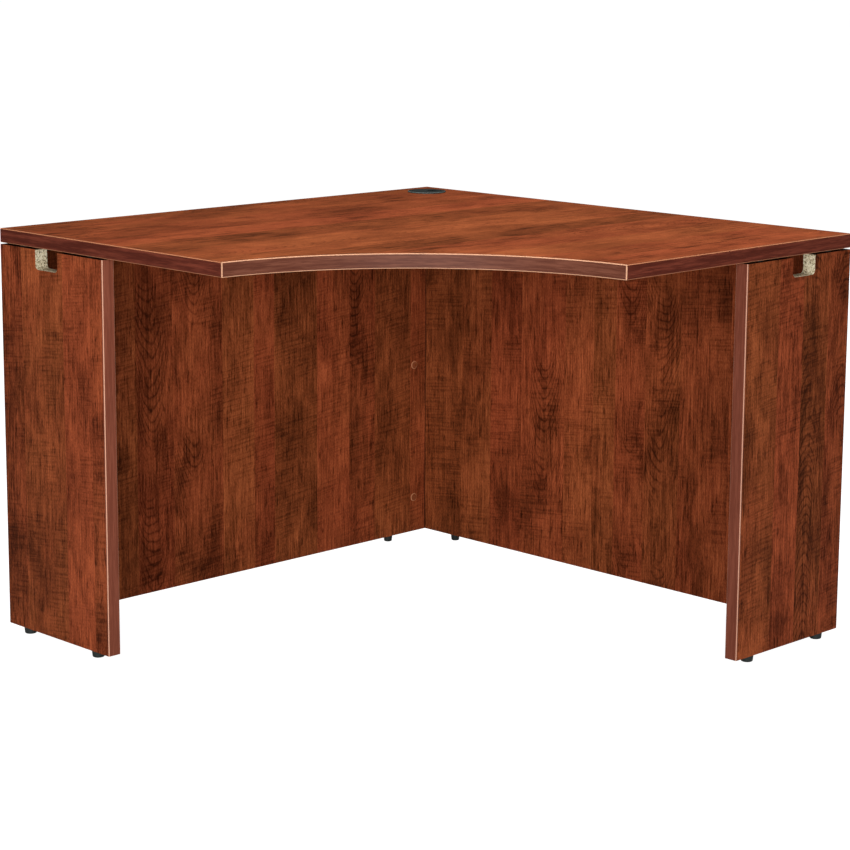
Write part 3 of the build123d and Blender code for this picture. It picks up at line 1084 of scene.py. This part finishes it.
def piece(
    shape: bmesh.types.BMesh,
    name: str,
    finish: Finish,
    stands_for: Sequence[str],
    body: str = DESK,
) -> bpy.types.Object:
    """Make a finished piece of a mesh and fix it to its body.

    Args:
        shape: the mesh, which is used up.
        name: the piece's name.
        finish: its finish.
        stands_for: the CAD nodes that it stands for.
        body: the body that it rides on.

    Returns:
        The piece.
    """
    mesh = bpy.data.meshes.new(name)
    shape.to_mesh(mesh)
    shape.free()
    mesh.materials.append(finish.material())
    mesh.shade_smooth()
    mesh.set_sharp_from_angle(angle=SMOOTH_BELOW)
    made = bpy.data.objects.new(name, mesh)
    bpy.context.scene.collection.objects.link(made)
    evened = made.modifiers.new("even_shading", "WEIGHTED_NORMAL")
    evened.keep_sharp = True
    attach(made, body)
    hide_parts(*stands_for)
    log.info("built %s, %d faces", name, len(mesh.polygons))
    return made


def block(low: Vector, high: Vector) -> bmesh.types.BMesh:
    """Start a mesh as a box between two corners.

    Args:
        low: lowest corner.
        high: highest corner.

    Returns:
        The box.
    """
    shape = bmesh.new()
    size = Matrix.Diagonal((*(high - low), 1.0))
    bmesh.ops.create_cube(shape, size=1.0, matrix=Matrix.Translation((low + high) / 2) @ size)
    return shape


def round_edges(
    shape: bmesh.types.BMesh,
    edges: Iterable[bmesh.types.BMEdge],
    radius: float,
    segments: int = 5,
    mark: Optional[str] = None,
    narrow: bool = False,
) -> None:
    """Round some edges of a mesh.

    Args:
        shape: the mesh.
        edges: the edges to round.
        radius: radius of the rounding.
        segments: number of faces round each edge.
        mark: name of a face attribute to set to 1 on the rounded faces.
        narrow: whether to leave the outer faces of the rounding unmarked.
    """
    layer = shape.faces.layers.float.new(mark) if mark else None
    rounded = bmesh.ops.bevel(
        shape,
        geom=list(edges),
        offset=radius,
        offset_type="OFFSET",
        affect="EDGES",
        segments=segments,
        profile=0.5,
        material=-1,
        clamp_overlap=True,
    )
    if layer:
        faces = set(rounded["faces"])
        for face in faces:
            long_sides = sorted(face.edges, key=lambda side: side.calc_length())[-2:]
            inside = all(other in faces for side in long_sides for other in side.link_faces)
            face[layer] = 1.0 if inside or not narrow else 0.0


def cut_off(shape: bmesh.types.BMesh, point: Vector, outwards: Vector) -> None:
    """Cut a mesh flat at a plane, and close the cut.

    Args:
        shape: the mesh.
        point: a point on the plane.
        outwards: direction of the side that is cut away.
    """
    everything = [*shape.verts, *shape.edges, *shape.faces]
    cut = bmesh.ops.bisect_plane(
        shape, geom=everything, dist=ON_PLANE, plane_co=point, plane_no=outwards, clear_outer=True
    )
    rim = [part for part in cut["geom_cut"] if isinstance(part, bmesh.types.BMEdge)]
    bmesh.ops.contextual_create(shape, geom=rim)


def turned(section: Sequence[tuple[float, float]], steps: int) -> bmesh.types.BMesh:
    """Turn a closed section about the Z axis, as on a lathe.

    Args:
        section: radius and height of each corner of the section, in order.
        steps: number of faces round the axis.

    Returns:
        The turned shape.
    """
    shape = bmesh.new()
    corners = [shape.verts.new((radius, 0.0, height)) for radius, height in section]
    lines = [shape.edges.new(pair) for pair in zip(corners, corners[1:] + corners[:1])]
    bmesh.ops.spin(
        shape,
        geom=corners + lines,
        cent=(0.0, 0.0, 0.0),
        axis=UP,
        dvec=(0.0, 0.0, 0.0),
        angle=tau,
        steps=steps,
        use_merge=True,
    )
    tidy(shape)
    return shape


def tidy(shape: bmesh.types.BMesh) -> None:
    """Merge doubled corners, drop faces of no width and point all faces outwards.

    Args:
        shape: the mesh.
    """
    bmesh.ops.remove_doubles(shape, verts=shape.verts, dist=SAME_PLACE)
    bmesh.ops.dissolve_degenerate(shape, dist=SAME_PLACE, edges=shape.edges)
    bmesh.ops.recalc_face_normals(shape, faces=shape.faces)


def ring_edges(shape: bmesh.types.BMesh, radius: float, height: float) -> list[bmesh.types.BMEdge]:
    """Find the edges of a circle on a turned shape.

    Args:
        shape: the shape, turned about the Z axis.
        radius: the circle's radius.
        height: the circle's height.

    Returns:
        Its edges.
    """

    def on_ring(corner: bmesh.types.BMVert) -> bool:
        """Say whether a corner lies on the circle."""
        return abs(corner.co.xy.length - radius) < ON_CIRCLE and abs(corner.co.z - height) < ON_CIRCLE

    return [edge for edge in shape.edges if all(on_ring(corner) for corner in edge.verts)]


def join(shape: bmesh.types.BMesh, other: bmesh.types.BMesh) -> None:
    """Add another mesh to a mesh.

    Args:
        shape: the mesh that grows.
        other: the mesh to add, which is used up.
    """
    loose = bpy.data.meshes.new("loose_part")
    other.to_mesh(loose)
    other.free()
    shape.from_mesh(loose)
    bpy.data.meshes.remove(loose)


def move_to(shape: bmesh.types.BMesh, side: Side) -> None:
    """Move a shape from the left return to a side, with its faces outwards."""
    bmesh.ops.transform(shape, matrix=side.turn(), verts=shape.verts)
    bmesh.ops.recalc_face_normals(shape, faces=shape.faces)


def axis_point(low: Vector, high: Vector) -> Vector:
    """Give the point on the floor under the middle of a box."""
    return Vector(((low.x + high.x) / 2, (low.y + high.y) / 2, 0.0))


@dataclass
class Worktop:
    """The worktop board with its wrapped concave front and its end and wall bands."""

    return_depth: float = 0.6096
    front_radius: float = 0.4826
    band: float = 0.003
    arris: float = 0.002
    overrun: float = radians(4)
    front_steps: int = 108

    def __post_init__(self) -> None:
        """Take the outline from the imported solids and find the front's centre."""
        low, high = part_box("worktop_left_band")
        self.half = -low.y
        self.under = low.z
        self.top = high.z
        rise = sqrt(self.front_radius**2 - (2 * self.half - self.return_depth) ** 2 / 2)
        self.centre = self.return_depth / 2 + rise / sqrt(2)
        self.glue_radius = self.front_radius + self.band

    def glue_x(self, y: float) -> float:
        """Give the X of the front band's glue face at a Y on the left return."""
        return self.centre - sqrt(self.glue_radius**2 - (y + self.centre) ** 2)

    def front_band(self) -> bmesh.types.BMesh:
        """Wrap the band round the concave front and round its free arrises.

        Returns:
            The band's mesh.
        """
        shape = bmesh.new()
        start = pi + self.overrun
        outwards = Vector((cos(start), sin(start), 0.0))
        middle = Vector((self.centre, -self.centre, 0.0))
        corners = [
            shape.verts.new(middle + outwards * radius + UP * height)
            for radius, height in (
                (self.front_radius, self.under),
                (self.glue_radius, self.under),
                (self.glue_radius, self.top),
                (self.front_radius, self.top),
            )
        ]
        section = shape.faces.new(corners)
        bmesh.ops.spin(
            shape,
            geom=[*corners, *section.edges, section],
            cent=middle,
            axis=UP,
            dvec=(0.0, 0.0, 0.0),
            angle=-(pi / 2 + 2 * self.overrun),
            steps=self.front_steps,
        )
        cut_off(shape, Vector((0.0, -self.half, 0.0)), Vector((0.0, -1.0, 0.0)))
        cut_off(shape, Vector((self.half, 0.0, 0.0)), Vector((1.0, 0.0, 0.0)))
        tidy(shape)

        def glued(corner: bmesh.types.BMVert) -> bool:
            """Say whether a corner lies on the glue face."""
            return (corner.co - middle).xy.length > self.glue_radius - ON_CIRCLE

        arrises = [
            edge
            for edge in shape.edges
            if edge.calc_face_angle(0.0) > SHARP_ABOVE and not all(glued(corner) for corner in edge.verts)
        ]
        round_edges(shape, arrises, self.arris, mark=ARRIS)
        tidy(shape)
        return shape

    def end_band(self, side: Side) -> bmesh.types.BMesh:
        """Make the band on the end of a return, cut to meet the front band.

        Args:
            side: the return.

        Returns:
            The band's mesh.
        """
        outer = Vector((self.glue_x(-self.half), -self.half, self.under))
        inner = Vector((self.glue_x(-self.half + self.band), -self.half + self.band, self.under))
        shape = block(
            Vector((-self.half, -self.half, self.under)),
            Vector((max(outer.x, inner.x), -self.half + self.band, self.top)),
        )
        cut_off(shape, outer, (inner - outer).cross(UP))
        free = [
            edge
            for edge in shape.edges
            if all(abs(corner.co.y + self.half) < SAME_PLACE for corner in edge.verts)
            and abs(edge.verts[0].co.z - edge.verts[1].co.z) < SAME_PLACE
        ]
        round_edges(shape, free, self.arris, mark=ARRIS, narrow=True)
        move_to(shape, side)
        return shape

    def build(self) -> None:
        """Dress the board and put on its bands."""
        dress("worktop", WORKTOP_LAMINATE)
        dress("worktop_left_rear_band", RETURN_BAND)
        dress("worktop_right_rear_band", RETURN_BAND)
        piece(self.front_band(), "front_band", FRONT_BAND, ["worktop_front_band"])
        for side in Side:
            node = f"worktop_{side.value}_band"
            piece(self.end_band(side), f"{side.value}_return_band", RETURN_BAND, [node])


@dataclass
class EndPanel:
    """One end panel: its board, the thick band on its front edge and the thin one at the wall."""

    side: Side
    laminate: Laminate
    band: BandPlastic
    arris: float = 0.002

    def front_band(self) -> bmesh.types.BMesh:
        """Make the upright band, with the two long free arrises rounded.

        Returns:
            The band's mesh.
        """
        low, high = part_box("left_end_front_band")
        shape = block(low, high)
        upright = [
            edge
            for edge in shape.edges
            if all(abs(corner.co.x - high.x) < SAME_PLACE for corner in edge.verts)
            and abs(edge.verts[0].co.z - edge.verts[1].co.z) > SAME_PLACE
        ]
        round_edges(shape, upright, self.arris, mark=ARRIS, narrow=True)
        move_to(shape, self.side)
        return shape

    def build(self) -> None:
        """Dress the board and put on its bands."""
        name = self.side.value
        dress(f"{name}_end_panel", self.laminate)
        dress(f"{name}_end_rear_band", WALL_BAND)
        node = f"{name}_end_front_band"
        piece(self.front_band(), f"{name}_upright_band", self.band, [node])


@dataclass
class BackPanels:
    """The two back panels and the band on the exposed end of the right one."""

    left: Laminate = LEFT_BACK_LAMINATE
    right: Laminate = RIGHT_BACK_LAMINATE

    def build(self) -> None:
        """Dress the boards and the band."""
        dress("left_back_panel", self.left)
        dress("right_back_panel", self.right)
        dress("right_back_band", WALL_BAND)


@dataclass
class Grommet:
    """The cable grommet: a flanged liner in the worktop and a slotted cap that turns in it."""

    flange_edge: float = 0.001
    mouth_edge: float = 0.0004
    sleeve_radius: float = 0.03145
    sleeve_wall: float = 0.002
    seat: float = 0.0004
    ledge_width: float = 0.004
    ledge_thickness: float = 0.0015
    cap_thickness: float = 0.003
    cap_drop: float = 0.0003
    cap_lift: float = 0.00005
    cap_edge: float = 0.0006
    skirt_gap: float = 0.0004
    skirt_wall: float = 0.0015
    slot_width: float = 0.020
    slot_start: float = 0.006
    steps: int = 96

    def __post_init__(self) -> None:
        """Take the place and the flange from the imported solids."""
        low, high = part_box("grommet_liner")
        self.middle = axis_point(low, high)
        self.flange_radius = (high.x - low.x) / 2
        self.bottom = low.z
        self.top = high.z
        self.board_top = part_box("worktop")[1].z
        self.bore = self.sleeve_radius - self.sleeve_wall
        self.ledge_top = self.top - self.cap_drop - self.cap_thickness
        self.ledge_radius = self.bore - self.ledge_width
        cap_low, cap_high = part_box("grommet_cap")
        self.cap_radius = (cap_high.x - cap_low.x) / 2
        self.cap_bottom = cap_low.z

    def liner(self) -> bmesh.types.BMesh:
        """Turn the liner and round the edges that a hand meets.

        Returns:
            The liner's mesh.
        """
        seat = self.board_top - self.seat
        ledge_under = self.ledge_top - self.ledge_thickness
        shape = turned(
            [
                (self.bore, self.top),
                (self.flange_radius, self.top),
                (self.flange_radius, seat),
                (self.sleeve_radius, seat),
                (self.sleeve_radius, self.bottom),
                (self.bore, self.bottom),
                (self.bore, ledge_under),
                (self.ledge_radius, ledge_under),
                (self.ledge_radius, self.ledge_top),
                (self.bore, self.ledge_top),
            ],
            self.steps,
        )
        # The flange's rounded edge is marked for the painted highlight.
        round_edges(shape, ring_edges(shape, self.flange_radius, self.top), self.flange_edge, mark=ARRIS)
        round_edges(shape, ring_edges(shape, self.bore, self.top), self.mouth_edge, segments=3)
        bmesh.ops.translate(shape, verts=shape.verts, vec=self.middle)
        return shape

    def cap(self) -> bmesh.types.BMesh:
        """Make the cap: a disc and a skirt, both open at the cable slot.

        Returns:
            The cap's mesh.
        """
        shape = bmesh.new()
        cap_top = self.ledge_top + self.cap_thickness
        disc_under = self.ledge_top + self.cap_lift
        skirt_radius = self.ledge_radius - self.skirt_gap
        skirt = bmesh.ops.create_circle(shape, cap_ends=True, radius=skirt_radius, segments=self.steps)
        hub = skirt["verts"][0].link_faces[0]
        bmesh.ops.inset_region(shape, faces=[hub], thickness=self.skirt_wall, use_even_offset=True)
        bmesh.ops.delete(shape, geom=[hub], context="FACES")
        bmesh.ops.translate(shape, verts=shape.verts, vec=UP * disc_under)
        self.open_slot(shape)
        self.thicken(shape, self.cap_bottom - disc_under)

        disc = bmesh.new()
        bmesh.ops.create_circle(disc, cap_ends=True, radius=self.cap_radius, segments=self.steps)
        bmesh.ops.translate(disc, verts=disc.verts, vec=UP * disc_under)
        self.open_slot(disc)
        self.thicken(disc, cap_top - disc_under)
        rim = [
            edge
            for edge in disc.edges
            if all(abs(corner.co.z - cap_top) < SAME_PLACE for corner in edge.verts)
            and edge.calc_face_angle(0.0) > SHARP_ABOVE
        ]
        round_edges(disc, rim, self.cap_edge, segments=3)

        join(shape, disc)
        bmesh.ops.recalc_face_normals(shape, faces=shape.faces)
        bmesh.ops.translate(shape, verts=shape.verts, vec=self.middle)
        return shape

    def open_slot(self, sheet: bmesh.types.BMesh) -> None:
        """Cut the cable slot out of a flat sheet round the axis.

        Args:
            sheet: the sheet, in a level plane.
        """
        half = self.slot_width / 2
        for point, across in (
            (Vector((half, 0.0, 0.0)), Vector((1.0, 0.0, 0.0))),
            (Vector((-half, 0.0, 0.0)), Vector((1.0, 0.0, 0.0))),
            (Vector((0.0, self.slot_start, 0.0)), Vector((0.0, 1.0, 0.0))),
        ):
            everything = [*sheet.verts, *sheet.edges, *sheet.faces]
            bmesh.ops.bisect_plane(sheet, geom=everything, dist=ON_PLANE, plane_co=point, plane_no=across)
        middles = {face: face.calc_center_median() for face in sheet.faces}
        gone = [face for face, at in middles.items() if abs(at.x) < half and at.y > self.slot_start]
        bmesh.ops.delete(sheet, geom=gone, context="FACES")

    @staticmethod
    def thicken(sheet: bmesh.types.BMesh, rise: float) -> None:
        """Give a level sheet a thickness.

        Args:
            sheet: the sheet.
            rise: how far it is drawn up, or down where it is negative.
        """
        raised = bmesh.ops.extrude_face_region(sheet, geom=[*sheet.faces], use_keep_orig=True)
        moved = [part for part in raised["geom"] if isinstance(part, bmesh.types.BMVert)]
        bmesh.ops.translate(sheet, verts=moved, vec=UP * rise)
        bmesh.ops.recalc_face_normals(sheet, faces=sheet.faces)

    def build(self) -> None:
        """Put the liner in the worktop and the cap in the liner."""
        piece(self.liner(), "grommet_ring", GROMMET_PLASTIC, ["grommet_liner"])
        piece(
            self.cap(),
            "grommet_lid",
            GROMMET_PLASTIC,
            ["grommet_cap"],
            body="grommet_cap",
        )


@dataclass
class CamFittings:
    """The knock-down fittings: cams, bolts, spacers and dowels in the boards, and a cover on each cam."""

    crown: Sequence[tuple[float, float]] = (
        (0.0, 1.0),
        (0.62, 1.0),
        (0.80, 0.88),
        (0.92, 0.60),
        (1.0, 0.18),
    )
    # Rim faces beyond this share of the radius carry the painted highlight.
    highlight_from: float = 0.78
    rim_from: float = 0.45
    stub_radius: float = 0.0022
    stub_length: float = 0.002
    steps: int = 40

    def cover_places(self, node: str) -> list[tuple[Matrix, float, float]]:
        """Find the covers of a CAD node.

        Args:
            node: the node, whose solids are discs with a stub behind them.

        Returns:
            For each cover, its place with Z out of the board, its radius and its thickness.
        """
        solids = bmesh.new()
        solids.from_mesh(frame["nodes"][node].data)
        bmesh.ops.remove_doubles(solids, verts=solids.verts, dist=SAME_PLACE)
        waiting = dict.fromkeys(solids.verts)
        places = []
        while waiting:
            found = [waiting.popitem()[0]]
            for corner in found:
                ends = [edge.other_vert(corner) for edge in corner.link_edges]
                near = [end for end in ends if end in waiting]
                for end in near:
                    del waiting[end]
                found.extend(near)
            points = [corner.co.copy() for corner in found]
            low = Vector(map(min, zip(*points)))
            high = Vector(map(max, zip(*points)))
            size = high - low
            axis = min(range(3), key=lambda part: size[part])
            thickness = size[axis] - self.stub_length
            middle = (low + high) / 2
            wide = [at[axis] for at in points if (at - middle).length > max(size) * self.rim_from]
            outwards = Vector((0.0, 0.0, 0.0))
            outwards[axis] = 1.0 if sum(wide) / len(wide) > middle[axis] else -1.0
            face = middle + outwards * (size[axis] / 2 - thickness)
            turn = outwards.to_track_quat("Z", "Y").to_matrix().to_4x4()
            places.append((Matrix.Translation(face) @ turn, max(size) / 2, thickness))
        solids.free()
        return places

    def covers(self, node: str) -> bmesh.types.BMesh:
        """Make all covers of a CAD node: crowned discs with a rim marked for a painted highlight.

        Args:
            node: the node.

        Returns:
            The covers' mesh.
        """
        together = bmesh.new()
        for place, radius, thickness in self.cover_places(node):
            crown = [(radius * out, thickness * up) for out, up in self.crown]
            back = [(radius, 0.0), (self.stub_radius, 0.0)]
            stub = [(self.stub_radius, -self.stub_length), (0.0, -self.stub_length)]
            one = turned([*crown, *back, *stub], self.steps)
            highlight_rim = one.faces.layers.float.new(ARRIS)
            for face in one.faces:
                at = face.calc_center_median()
                face[highlight_rim] = float(at.xy.length > radius * self.highlight_from and at.z > 0.0)
            bmesh.ops.transform(one, matrix=place, verts=one.verts)
            join(together, one)
        return together

    def build(self) -> None:
        """Dress the fittings and put on the covers."""
        for group in ("panel", "worktop"):
            dress(f"{group}_cams", ZINC)
            dress(f"{group}_cam_bolts", STEEL)
            node = f"{group}_cam_covers"
            piece(self.covers(node), f"{group}_covers", COVER_PLASTIC, [node])
        dress("worktop_spacers", GLIDE_PLASTIC)
        dress("panel_dowels", BEECH)
        dress("glide_inserts", STEEL)


@dataclass
class Glide:
    """One levelling glide: a moulded foot on a threaded steel stem."""

    name: str
    taper: float = 0.0012
    edge: float = 0.002
    rim: float = 0.0004
    pocket_radius: float = 0.00308
    pitch: float = 0.001
    thread_depth: float = 0.0005
    foot_steps: int = 48
    stem_steps: int = 20

    def __post_init__(self) -> None:
        """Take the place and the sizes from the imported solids."""
        low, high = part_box(f"{self.name}_glide_foot")
        self.middle = axis_point(low, high)
        self.radius = (high.x - low.x) / 2
        self.height = high.z
        stem_low, stem_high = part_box(f"{self.name}_glide_stem")
        self.stem_radius = (stem_high.x - stem_low.x) / 2
        self.stem_bottom = stem_low.z
        self.stem_top = stem_high.z

    def foot(self) -> bmesh.types.BMesh:
        """Turn the foot: tapered, rounded underneath, with the stem's pocket on top.

        Returns:
            The foot's mesh.
        """
        tread = self.radius - self.taper
        shape = turned(
            [
                (0.0, 0.0),
                (tread, 0.0),
                (self.radius, self.height),
                (self.pocket_radius, self.height),
                (self.pocket_radius, self.stem_bottom),
                (0.0, self.stem_bottom),
            ],
            self.foot_steps,
        )
        round_edges(shape, ring_edges(shape, tread, 0.0), self.edge, segments=6)
        round_edges(shape, ring_edges(shape, self.radius, self.height), self.rim, segments=3)
        bmesh.ops.translate(shape, verts=shape.verts, vec=self.middle)
        return shape

    def stem(self) -> bmesh.types.BMesh:
        """Wind the stem's thread and cut its ends flat.

        Returns:
            The stem's mesh.
        """
        shape = bmesh.new()
        root = self.stem_radius - self.thread_depth
        turns = round((self.stem_top - self.stem_bottom) / self.pitch) + 2
        start = self.stem_bottom - self.pitch
        corners = [
            shape.verts.new((root, 0.0, start)),
            shape.verts.new((self.stem_radius, 0.0, start + self.pitch / 2)),
            shape.verts.new((root, 0.0, start + self.pitch)),
        ]
        lines = [shape.edges.new(pair) for pair in zip(corners, corners[1:])]
        bmesh.ops.spin(
            shape,
            geom=corners + lines,
            cent=(0.0, 0.0, 0.0),
            axis=UP,
            dvec=UP * (self.pitch / self.stem_steps),
            angle=tau * turns,
            steps=self.stem_steps * turns,
        )
        bmesh.ops.remove_doubles(shape, verts=shape.verts, dist=SAME_PLACE)
        cut_off(shape, UP * self.stem_bottom, -UP)
        cut_off(shape, UP * self.stem_top, UP)
        bmesh.ops.recalc_face_normals(shape, faces=shape.faces)
        bmesh.ops.translate(shape, verts=shape.verts, vec=self.middle)
        return shape

    def build(self) -> None:
        """Put the foot on its stem."""
        body = f"{self.name}_glide"
        foot = f"{self.name}_glide_foot"
        stem = f"{self.name}_glide_stem"
        piece(self.foot(), f"{self.name}_foot", GLIDE_PLASTIC, [foot], body=body)
        piece(self.stem(), f"{self.name}_stem", STEEL, [stem], body=body)


@dataclass(frozen=True)
class Softbox:
    """A large soft lamp."""

    name: str
    place: Point
    aim: Point
    width: float
    depth: float
    watts: float

    def build(self) -> None:
        """Hang the lamp and point it."""
        lamp = bpy.data.lights.new(self.name, "AREA")
        lamp.shape = "RECTANGLE"
        lamp.size = self.width
        lamp.size_y = self.depth
        lamp.energy = self.watts
        hung = bpy.data.objects.new(self.name, lamp)
        hung.visible_camera = False
        towards = Vector(self.aim) - Vector(self.place)
        turn = towards.to_track_quat("-Z", "Y").to_matrix().to_4x4()
        hung.matrix_world = Matrix.Translation(self.place) @ turn
        bpy.context.scene.collection.objects.link(hung)
        log.info("hung %s", self.name)


@dataclass(frozen=True)
class Viewpoint:
    """The photograph's camera, as solved from the desk's corners."""

    place: Point = (3.004, -2.983, 1.255)
    heading: float = radians(45.19)
    fall: float = radians(10.30)
    roll: float = radians(0.34)
    focal_pixels: float = 2402.0
    frame_pixels: float = 850.0
    middle_row: float = 370.0
    far_end: float = 300.0

    def build(self) -> None:
        """Set up the camera."""
        over_floor = Vector((-sin(self.heading), cos(self.heading), 0.0))
        ahead = over_floor * cos(self.fall) - UP * sin(self.fall)
        sideways = Vector((cos(self.heading), sin(self.heading), 0.0))
        over = sideways.cross(ahead)
        right = sideways * cos(self.roll) + over * sin(self.roll)
        above = over * cos(self.roll) - sideways * sin(self.roll)
        lens = bpy.data.cameras.new("photograph_view")
        lens.sensor_fit = "HORIZONTAL"
        lens.lens = self.focal_pixels / self.frame_pixels * lens.sensor_width
        lens.shift_y = (self.middle_row - self.frame_pixels / 2) / self.frame_pixels
        lens.clip_end = self.far_end
        camera = bpy.data.objects.new("photograph_view", lens)
        turn = Matrix((right, above, -ahead)).transposed().to_4x4()
        camera.matrix_world = Matrix.Translation(self.place) @ turn
        bpy.context.scene.collection.objects.link(camera)
        bpy.context.scene.camera = camera


@dataclass
class Studio:
    """Pale floor, soft light and the camera; the floor is low enough to show the glides screwed out."""

    floor_radius: float = 60.0
    floor_steps: int = 96
    floor_drop: float = 0.0125
    sky: float = 0.12
    sky_low: float = 0.15
    sky_high: float = 0.60
    lamps: Sequence[Softbox] = (
        Softbox("overhead_softbox", (0.2, -0.2, 4.4), (0.0, 0.0, 0.7), 3.0, 3.0, 150.0),
        Softbox("front_softbox", (3.0, -3.2, 1.1), (0.0, 0.0, 0.45), 3.6, 2.1, 155.0),
        Softbox("rear_softbox", (-3.7, 3.7, 0.35), (0.0, 0.0, 0.35), 2.4, 0.5, 90.0),
    )

    def floor(self) -> None:
        """Lay the floor."""
        shape = bmesh.new()
        bmesh.ops.create_circle(shape, cap_ends=True, radius=self.floor_radius, segments=self.floor_steps)
        bmesh.ops.translate(shape, verts=shape.verts, vec=UP * -self.floor_drop)
        mesh = bpy.data.meshes.new("studio_floor")
        shape.to_mesh(mesh)
        shape.free()
        mesh.materials.append(FLOOR.material())
        laid = bpy.data.objects.new("studio_floor", mesh)
        bpy.context.scene.collection.objects.link(laid)

    def sky_light(self) -> None:
        """Fill the room with soft white light from above, fading towards the floor."""
        world = bpy.data.worlds.new("studio_room")
        world.use_nodes = True
        graph = NodeGraph(world.node_tree)
        heading = graph.add("SeparateXYZ")
        graph.feed(heading.inputs[0], graph.add("TexCoord").outputs["Generated"])
        above = graph.step(heading.outputs["Z"], self.sky_low, self.sky_high)
        seen = graph.add("LightPath").outputs["Is Camera Ray"]
        light = graph.math("MULTIPLY", above, self.sky)
        background = world.node_tree.nodes["Background"]
        graph.feed(background.inputs["Color"], (1.0, 1.0, 1.0))
        graph.feed(background.inputs["Strength"], graph.math("MAXIMUM", light, seen))
        bpy.context.scene.world = world

    def build(self) -> None:
        """Set up the floor, the light and the camera."""
        self.floor()
        self.sky_light()
        for lamp in self.lamps:
            lamp.build()
        Viewpoint().build()
        bpy.context.scene.view_settings.view_transform = "Standard"


def main() -> None:
    """Build the desk from the top down, then the studio round it."""
    logging.basicConfig(level=logging.INFO, format="%(name)s: %(message)s")
    Worktop().build()
    EndPanel(Side.LEFT, LEFT_END_LAMINATE, LEFT_UPRIGHT_BAND).build()
    EndPanel(Side.RIGHT, RIGHT_END_LAMINATE, RIGHT_UPRIGHT_BAND).build()
    BackPanels().build()
    Grommet().build()
    CamFittings().build()
    for joint in frame["joints"]:
        if joint["type"] == "slide":
            Glide(joint["child"].removesuffix("_glide")).build()
    Studio().build()


if __name__ == "__main__":
    main()
